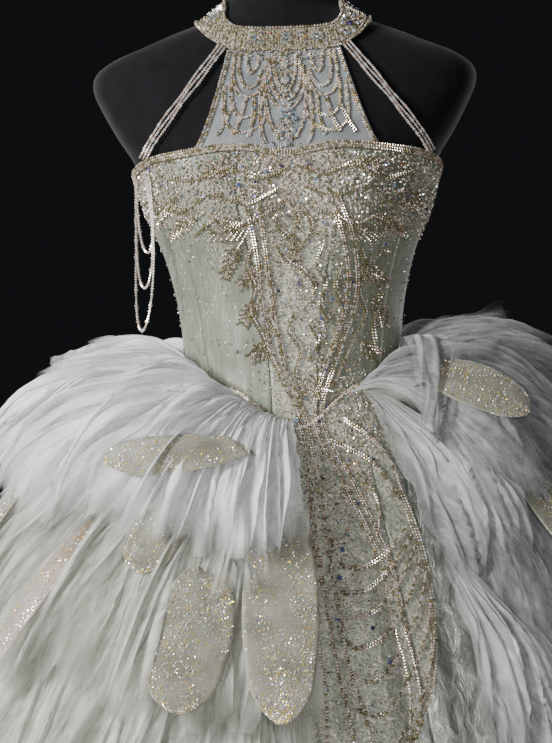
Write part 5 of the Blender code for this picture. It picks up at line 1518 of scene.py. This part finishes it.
def ruffle_sheet(tier, side, ruffle, number):
    """The points and marks of one loose ruffle."""
    across, up = grid_of(RUFFLE_COLUMNS, RUFFLE_ROWS)
    t = 1 - up
    turn = 2 * math.pi * across
    seed = 1.7 * number + side
    root = ruffle.root_first + (ruffle.root_last - ruffle.root_first) * across
    tip = ruffle.tip_first + (ruffle.tip_last - ruffle.tip_first) * across
    angle = np.radians(root + (tip - root) * t**0.75)
    tufts = 0.5 + 0.5 * np.sin(3.4 * turn + 1.5 * np.sin(2.1 * turn + seed) + seed)
    uneven = (0.10 * (tufts**0.5 - 0.8) + 0.035 * np.sin(9 * turn + 2 * np.sin(5 * turn + seed))
              + 0.015 * np.sin(21 * turn + seed))
    end = np.minimum(1.0, ruffle.tip_share * (1 + uneven) - 0.16 * (2 * across - 1) ** 4)
    share = ruffle.root_share + (end - ruffle.root_share) * t
    bend = (2.2 * np.sin(3.1 * t + 2 * turn + seed) + 1.2 * np.sin(6.3 * t + 5 * turn + seed)
            + 0.5 * np.sin(13 * t + 9 * turn))
    wide = 4.2 * turn + 1.2 * np.sin(2.7 * turn + seed) + bend
    small = 15 * turn + 1.4 * np.sin(4.3 * turn + seed) + 1.3 * bend
    fine = 37 * turn + 1.8 * np.sin(7.1 * turn + seed) + 0.8 * bend
    calm = 1.0 if tier.name == "tier_1" else 0.55
    rise = calm * ((0.35 + 0.65 * tufts) * 0.014 * t * (1 + crest_wave(wide))
                   + (0.0012 + 0.0018 * t) * (1 + crest_wave(small))
                   + 0.0006 * (1 + crest_wave(fine)))
    beside = np.minimum(across, 1 - across)
    lift = ruffle.lift * np.minimum(1, 3 * t) + rise + ruffle.flip * t**3 * (0.35 + 0.65 * tufts)
    lift = lift * np.minimum(1, 0.1 + 7 * beside)
    lift = 0.0018 + lift * np.minimum(1, 0.15 + 5 * t)
    aside = 0.009 * t * np.sin(wide + 0.9) + 0.0012 * np.minimum(1, 3 * t) * np.sin(small + 0.5)
    start, stop = tier_span(tier, side)
    wave = gather_wave(tier, np.clip((angle - start) / (stop - start), 0, 1), side)
    place = tier_point(tier, angle, share, lift, wave, aside)
    spread = abs(ruffle.root_last - ruffle.root_first) * (1 - t) + abs(ruffle.tip_last - ruffle.tip_first) * t
    width = np.radians(spread) * 0.25
    marks = {"crest": crest_share(wide, small, fine),
             "edge": np.minimum((end - share) * 0.33, 0.020 + 1.5 * beside * width),
             "run": across * width.max() + 0.7 * number, "fall": share * 0.33, "few": fewer_plies_and_painted_shade(angle)}
    return place, marks


def one_piece(name, sheets, columns, rows, material):
    """Several sheets of points and marks as one piece of tulle."""
    marks = {mark: np.concatenate([sheet[1][mark] for sheet in sheets]) for mark in sheets[0][1]}
    mesh = grid_mesh(name, np.concatenate([sheet[0] for sheet in sheets]), columns, rows, **marks)
    return finish_object(name, mesh, material, None)


for tier in TIERS[:3]:
    for side, word in ((-1, "left"), (1, "right")):
        sheets = [ruffle_sheet(tier, side, Ruffle(*row), k)
                  for k, row in enumerate(RUFFLES[f"{tier.name}_{word}"])]
        # The first tier's ruffles take the lighter copy of the tulle, painted light, and the lower tiers'
        # ruffles the darker one, painted shade.
        cloth = one_piece(f"{tier.name}_{word}_ruffles", sheets, RUFFLE_COLUMNS, RUFFLE_ROWS,
                          tulle_top_painted_light if tier.name == "tier_1" else low_top_painted_shade)

# Three lengths of tulle fall over the right tiers' front edges: two run down beside the column, and one
# stands up at the waist and folds over. Rows give height, both edges' degrees and both edges' radius.
FRONT_FALLS = [
    [(1.030, 32, 41, 0.126, 0.128), (1.016, 32.5, 44, 0.146, 0.158), (0.9675, 33, 50, 0.185, 0.250),
     (0.932, 35, 53, 0.200, 0.275), (0.901, 35.5, 55, 0.215, 0.288), (0.864, 37, 56, 0.236, 0.294),
     (0.8235, 38, 57, 0.252, 0.298), (0.785, 39, 58, 0.268, 0.314)],
    [(0.860, 36, 40, 0.236, 0.246), (0.8235, 36.5, 44, 0.256, 0.278), (0.776, 37, 50, 0.275, 0.316),
     (0.730, 36.5, 52, 0.288, 0.337), (0.689, 36, 54, 0.302, 0.354), (0.640, 35.5, 55, 0.318, 0.364),
     (0.590, 35, 55, 0.333, 0.376)],
    [(1.046, 52, 74, 0.126, 0.122), (1.078, 48, 80, 0.148, 0.150), (1.088, 44, 77, 0.168, 0.176),
     (1.072, 41, 70, 0.188, 0.202), (1.040, 38, 60, 0.204, 0.224), (1.000, 36.5, 50, 0.212, 0.238),
     (0.970, 36, 45, 0.216, 0.240)],
]
FALL_COLUMNS, FALL_ROWS = 76, 44


def fall_sheet(rows, number):
    """The points and marks of one fall of tulle."""
    rows = np.array(rows)
    across, up = grid_of(FALL_COLUMNS, FALL_ROWS)
    t = 1 - up
    turn = 2 * math.pi * across
    tufts = 0.5 + 0.5 * np.sin(2.3 * turn + 1.7 * number)
    t_cut = t * np.minimum(
        1, 1.0 + 0.05 * (tufts - 1) + 0.012 * np.sin(13 * turn) - 0.05 * (2 * across - 1) ** 4)
    steps = passed_along(np.stack([rows[:, 0], (rows[:, 3] + rows[:, 4]) / 2], axis=-1))
    height, inner, outer, inner_out, outer_out = [through(steps, rows[:, c], t_cut * steps[-1])
                                                  for c in range(5)]
    bend = (1.8 * np.sin(4.6 * t + number + 2 * turn) + 1.2 * np.sin(9 * t + 3 * turn + number)
            + 0.6 * np.sin(17 * t + 7 * turn))
    wide, small, fine = 3.0 * turn + 1.6 * bend, 13 * turn + 1.3 * bend, 31 * turn + bend
    lift = (0.011 * np.minimum(1, 2 * t) * crest_wave(wide) + 0.0018 * crest_wave(small)
            + 0.0007 * crest_wave(fine))
    lift = lift * np.minimum(1, 0.2 + 4 * t)
    aside = 0.006 * np.minimum(1, 2 * t) * np.sin(wide + 0.9) * np.sin(math.pi * across)
    out = inner_out + (outer_out - inner_out) * across**0.7 + lift + 0.006
    angle = np.radians(inner + (outer - inner) * across) + aside / out
    place = np.stack([out * np.sin(angle), -out * np.cos(angle), height + 0.3 * lift], axis=-1)
    long = steps[-1]
    beside = np.minimum(across, 1 - across) * np.radians(outer - inner) * out
    sewn_in = 1.5 * t * long + (0.05 if number == 0 else -0.01)
    marks = {"crest": crest_share(wide, small, fine),
             "edge": np.minimum(np.minimum((1 - t) * long, 0.014 + 2.5 * beside), sewn_in),
             "run": across * 0.11 + 1.3 * number, "fall": t * long,
             # few makes each fall sheerer and drawn darker towards its lower end; the darkening is painted
             # shade.
             "few": 0.9 * np.clip((t - 0.38) / 0.40, 0, 1)}
    return place, marks


# The falls take a darker copy of the tulle, painted shade.
cloth = one_piece("front_falls_right", [fall_sheet(rows, k) for k, rows in enumerate(FRONT_FALLS)],
                  FALL_COLUMNS, FALL_ROWS, falling_tulle_painted_shade)

# ---- The petals ----
# Leaf shapes cut from stiff organza net with glitter fused on it. The root is sewn under the tier
# above; the rest lies loose on the tulle, bowed a little, with a clean cut edge.
Petal = namedtuple("Petal", "name tier root_angle tip_angle root_share tip_share width cut_long")
PETALS = [
    Petal("petal_left_wide", "tier_1", -15, -46, 0.50, 0.76, 0.052, 0.118),
    Petal("petal_left_short", "tier_2", -37, -39, 0.28, 0.58, 0.046, 0.120),
    Petal("petal_left_narrow", "tier_2", -51, -60, 0.44, 0.97, 0.024, 0.240),
    Petal("petal_left_side", "tier_2", -78, -84, 0.34, 0.90, 0.060, 0.240),
    Petal("petal_left_low", "tier_2", -24, -26, 0.50, 0.96, 0.070, 0.184),
    Petal("petal_centre_long", "tier_2", -6, -5, 0.22, 0.97, 0.070, 0.250),
    Petal("petal_right_high", "tier_1", 46, 57, 0.34, 0.72, 0.054, 0.127),
    Petal("petal_right_low", "tier_2", 60, 65, 0.42, 0.82, 0.056, 0.176),
    Petal("petal_right_side", "tier_2", 98, 101, 0.28, 0.92, 0.064, 0.268),
    Petal("petal_back_left", "tier_2", -140, -138, 0.28, 0.93, 0.068, 0.267),
    Petal("petal_back_right", "tier_2", 146, 143, 0.28, 0.94, 0.068, 0.270),
]


def glitter_finish(name, light, dark, flash):
    """Glitter fused on net: most flakes are silver, and one in six is gold, yellow, blue or violet."""
    made, tree, shader, where = new_material(name, light, 0.4, sheen_weight=0.2)
    flakes = add_node(tree, "TexVoronoi", {"Vector": where, "Scale": 520.0})
    patch = add_node(tree, "TexNoise", {"Vector": where, "Scale": 34.0, "Detail": 2.0})
    limit = add_node(tree, "MapRange", {
        "Value": patch, "From Min": 0.35, "From Max": 0.65, "To Min": 0.88, "To Max": 0.45})
    flake, tone = sparks(tree, flakes, limit, 0.34)
    hue = add_node(tree, "ValToRGB", {"Fac": tone.outputs["Red"]}, [
        (0.0, "#FFFDF6"), (0.45, "#E8E0D2"), (0.74, flash), (0.84, "#F3DC6A"), (0.91, "#B7B2E0"),
        (0.96, "#8FC7E8")])
    hue.color_ramp.interpolation = "CONSTANT"
    ground = add_node(tree, "ValToRGB", {"Fac": patch}, [(0.3, dark), (0.7, light)])
    mixed = add_node(tree, "Mix", {"Factor": flake, 6: ground, 7: hue}, data_type="RGBA")
    gloss = add_node(tree, "MapRange", {"Value": flake, "To Min": 0.6, "To Max": 0.12})
    metal = add_node(tree, "MapRange", {"Value": flake, "To Min": 0.0, "To Max": 0.3})
    tilt = add_node(tree, "Bump", {"Height": tone.outputs["Blue"], "Strength": 0.8, "Distance": 0.0010})
    feed(shader, {"Base Color": mixed, "Roughness": gloss, "Metallic": metal, "Normal": tilt})
    rim = add_node(tree, "Attribute", attribute_name="rim")
    clear = add_node(tree, "MapRange", {
        "Value": rim, "From Min": 0.0006, "From Max": 0.0022, "To Min": 1.0, "To Max": 0.62})
    feed(shader, {"Alpha": clear})
    return made


# Glitter is cut from metal-coated film: flat, mirror bright, mostly silver, with gold, yellow and violet.
flake_film = cut_finish(
    "metal_coated_film", "#E9E6DC", 0.2, metallic=0.45, stops=[
        (0.0, "#FDFBF4"), (0.26, "#F0DCC8"), (0.46, "#EFC65A"), (0.66, "#FFFFFF"), (0.80, "#F6E04A"),
        (0.92, "#9490C4"), (0.97, "#6D5A58")],
    flaws={"Scale": 500.0, "Detail": 1.0}, gloss={"To Min": 0.10, "To Max": 0.34})
FLAKES_PER_AREA = 80000
PETAL_COLUMNS, PETAL_ROWS = 14, 40
flakes = []
glitter_net = glitter_finish("silver_glitter_net", "#ABAA9A", "#858472", "#F2C84B")
rose_net = glitter_finish("rose_glitter_net", "#CDBDB4", "#AE9D94", "#E8967F")
for petal in PETALS:
    tier = next(t for t in TIERS if t.name == petal.tier)
    side = math.copysign(1, petal.root_angle)
    ends = tier_point(tier, np.radians([petal.root_angle, petal.tip_angle]),
                      np.array([petal.root_share, petal.tip_share]))
    reach = np.hypot(ends[:, 0], ends[:, 1])
    fall = ends[0, 2] - ends[1, 2] + reach[1] - reach[0]
    slant = math.atan2(math.radians(petal.tip_angle - petal.root_angle) * reach.mean(), fall)
    across, up = grid_of(PETAL_COLUMNS, PETAL_ROWS)
    t = (1 - np.cos(math.pi * (1 - up))) / 2
    share = petal.root_share + (petal.tip_share - petal.root_share) * t
    angle = np.radians(petal.root_angle + (petal.tip_angle - petal.root_angle) * t)
    middle = tier_point(tier, angle, share)
    leaf = np.sin(math.pi * np.minimum(1.0, 0.06 + 0.80 * t)).clip(0) ** 0.70
    half = petal.width / 2 * (0.16 + 0.84 * leaf)
    half = half * np.sqrt(np.clip(1 - (np.maximum(0, t - 0.84) / 0.16) ** 2, 0.0004, 1))
    beside = (2 * across - 1) * half
    angle = angle + beside * math.cos(slant) / np.hypot(middle[:, 0], middle[:, 1])
    share = share - beside * math.sin(slant) * (petal.tip_share - petal.root_share) / fall
    crest = tier.wave_depth * share**WAVE_GROWTH + TULLE_WALL + (0.011 if tier.name == "tier_1" else 0.006)
    bow = 0.0022 * np.sin(math.pi * across) * np.minimum(1, t * 3) + 0.0009 * np.sin(9 * t + 3 * across) * t
    start, end = tier_span(tier, side)
    place_along = (angle - start) / (end - start)
    place_along = (angle - front_sweep(tier, side, place_along, share) - start) / (end - start)
    root = tier_point(tier, angle, share, TULLE_WALL + 0.0022, gather_wave(tier, place_along, side))
    proud = tier_point(tier, angle, share, crest + bow)
    mix = np.minimum(1.0, t * 10)[:, None]
    place = root * (1 - mix) + proud * mix
    rim = np.minimum((1 - abs(2 * across - 1)) * half,
                     (1 - t) * abs(petal.tip_share - petal.root_share) * 0.3)
    mesh = grid_mesh(petal.name + "_net", place, PETAL_COLUMNS, PETAL_ROWS, rim=rim)
    cloth = finish_object(petal.name + "_net", mesh,
                          rose_net if petal.name == "petal_left_narrow" else glitter_net,
                          petal.name)
    walled(cloth, 0.0006)
    grid = place.reshape(PETAL_ROWS + 1, PETAL_COLUMNS + 1, 3)
    count = int(petal.width * abs(fall) * FLAKES_PER_AREA)
    spot_across, spot_down = chance.uniform(0.03, 0.97, 3 * count), chance.uniform(0.02, 0.98, 3 * count)
    patch = (np.sin(7.3 * spot_across + 2 * spot_down + petal.root_angle)
             * np.sin(9.1 * spot_down + 3 * spot_across + petal.tip_angle))
    kept = chance.uniform(0, 1, 3 * count) < 0.40 + 0.50 * patch
    row, column = spot_down[kept] * (PETAL_ROWS - 0.01), spot_across[kept] * (PETAL_COLUMNS - 0.01)
    low, left = row.astype(int), column.astype(int)
    corner, ahead, over = grid[low, left], grid[low + 1, left], grid[low, left + 1]
    at = corner + (ahead - corner) * (row - low)[:, None] + (over - corner) * (column - left)[:, None]
    facing = np.cross(over - corner, ahead - corner)
    facing /= np.maximum(1e-12, np.linalg.norm(facing, axis=1, keepdims=True))
    facing *= np.sign((facing * at * (1, 1, 0)).sum(axis=1))[:, None]
    number = len(at)
    tints = chance.uniform(*((0.3, 0.8) if petal.name == "petal_left_narrow" else (0, 1)), number)
    flakes.append(Work(at + facing * 0.0011, facing + chance.normal(0, 0.38, (number, 3)),
                       chance.normal(0, 1, (number, 3)),
                       chance.uniform(0.0012, 0.0029, number), tints))
sewn("petal_glitter", SEQUIN, joined(flakes), flake_film)
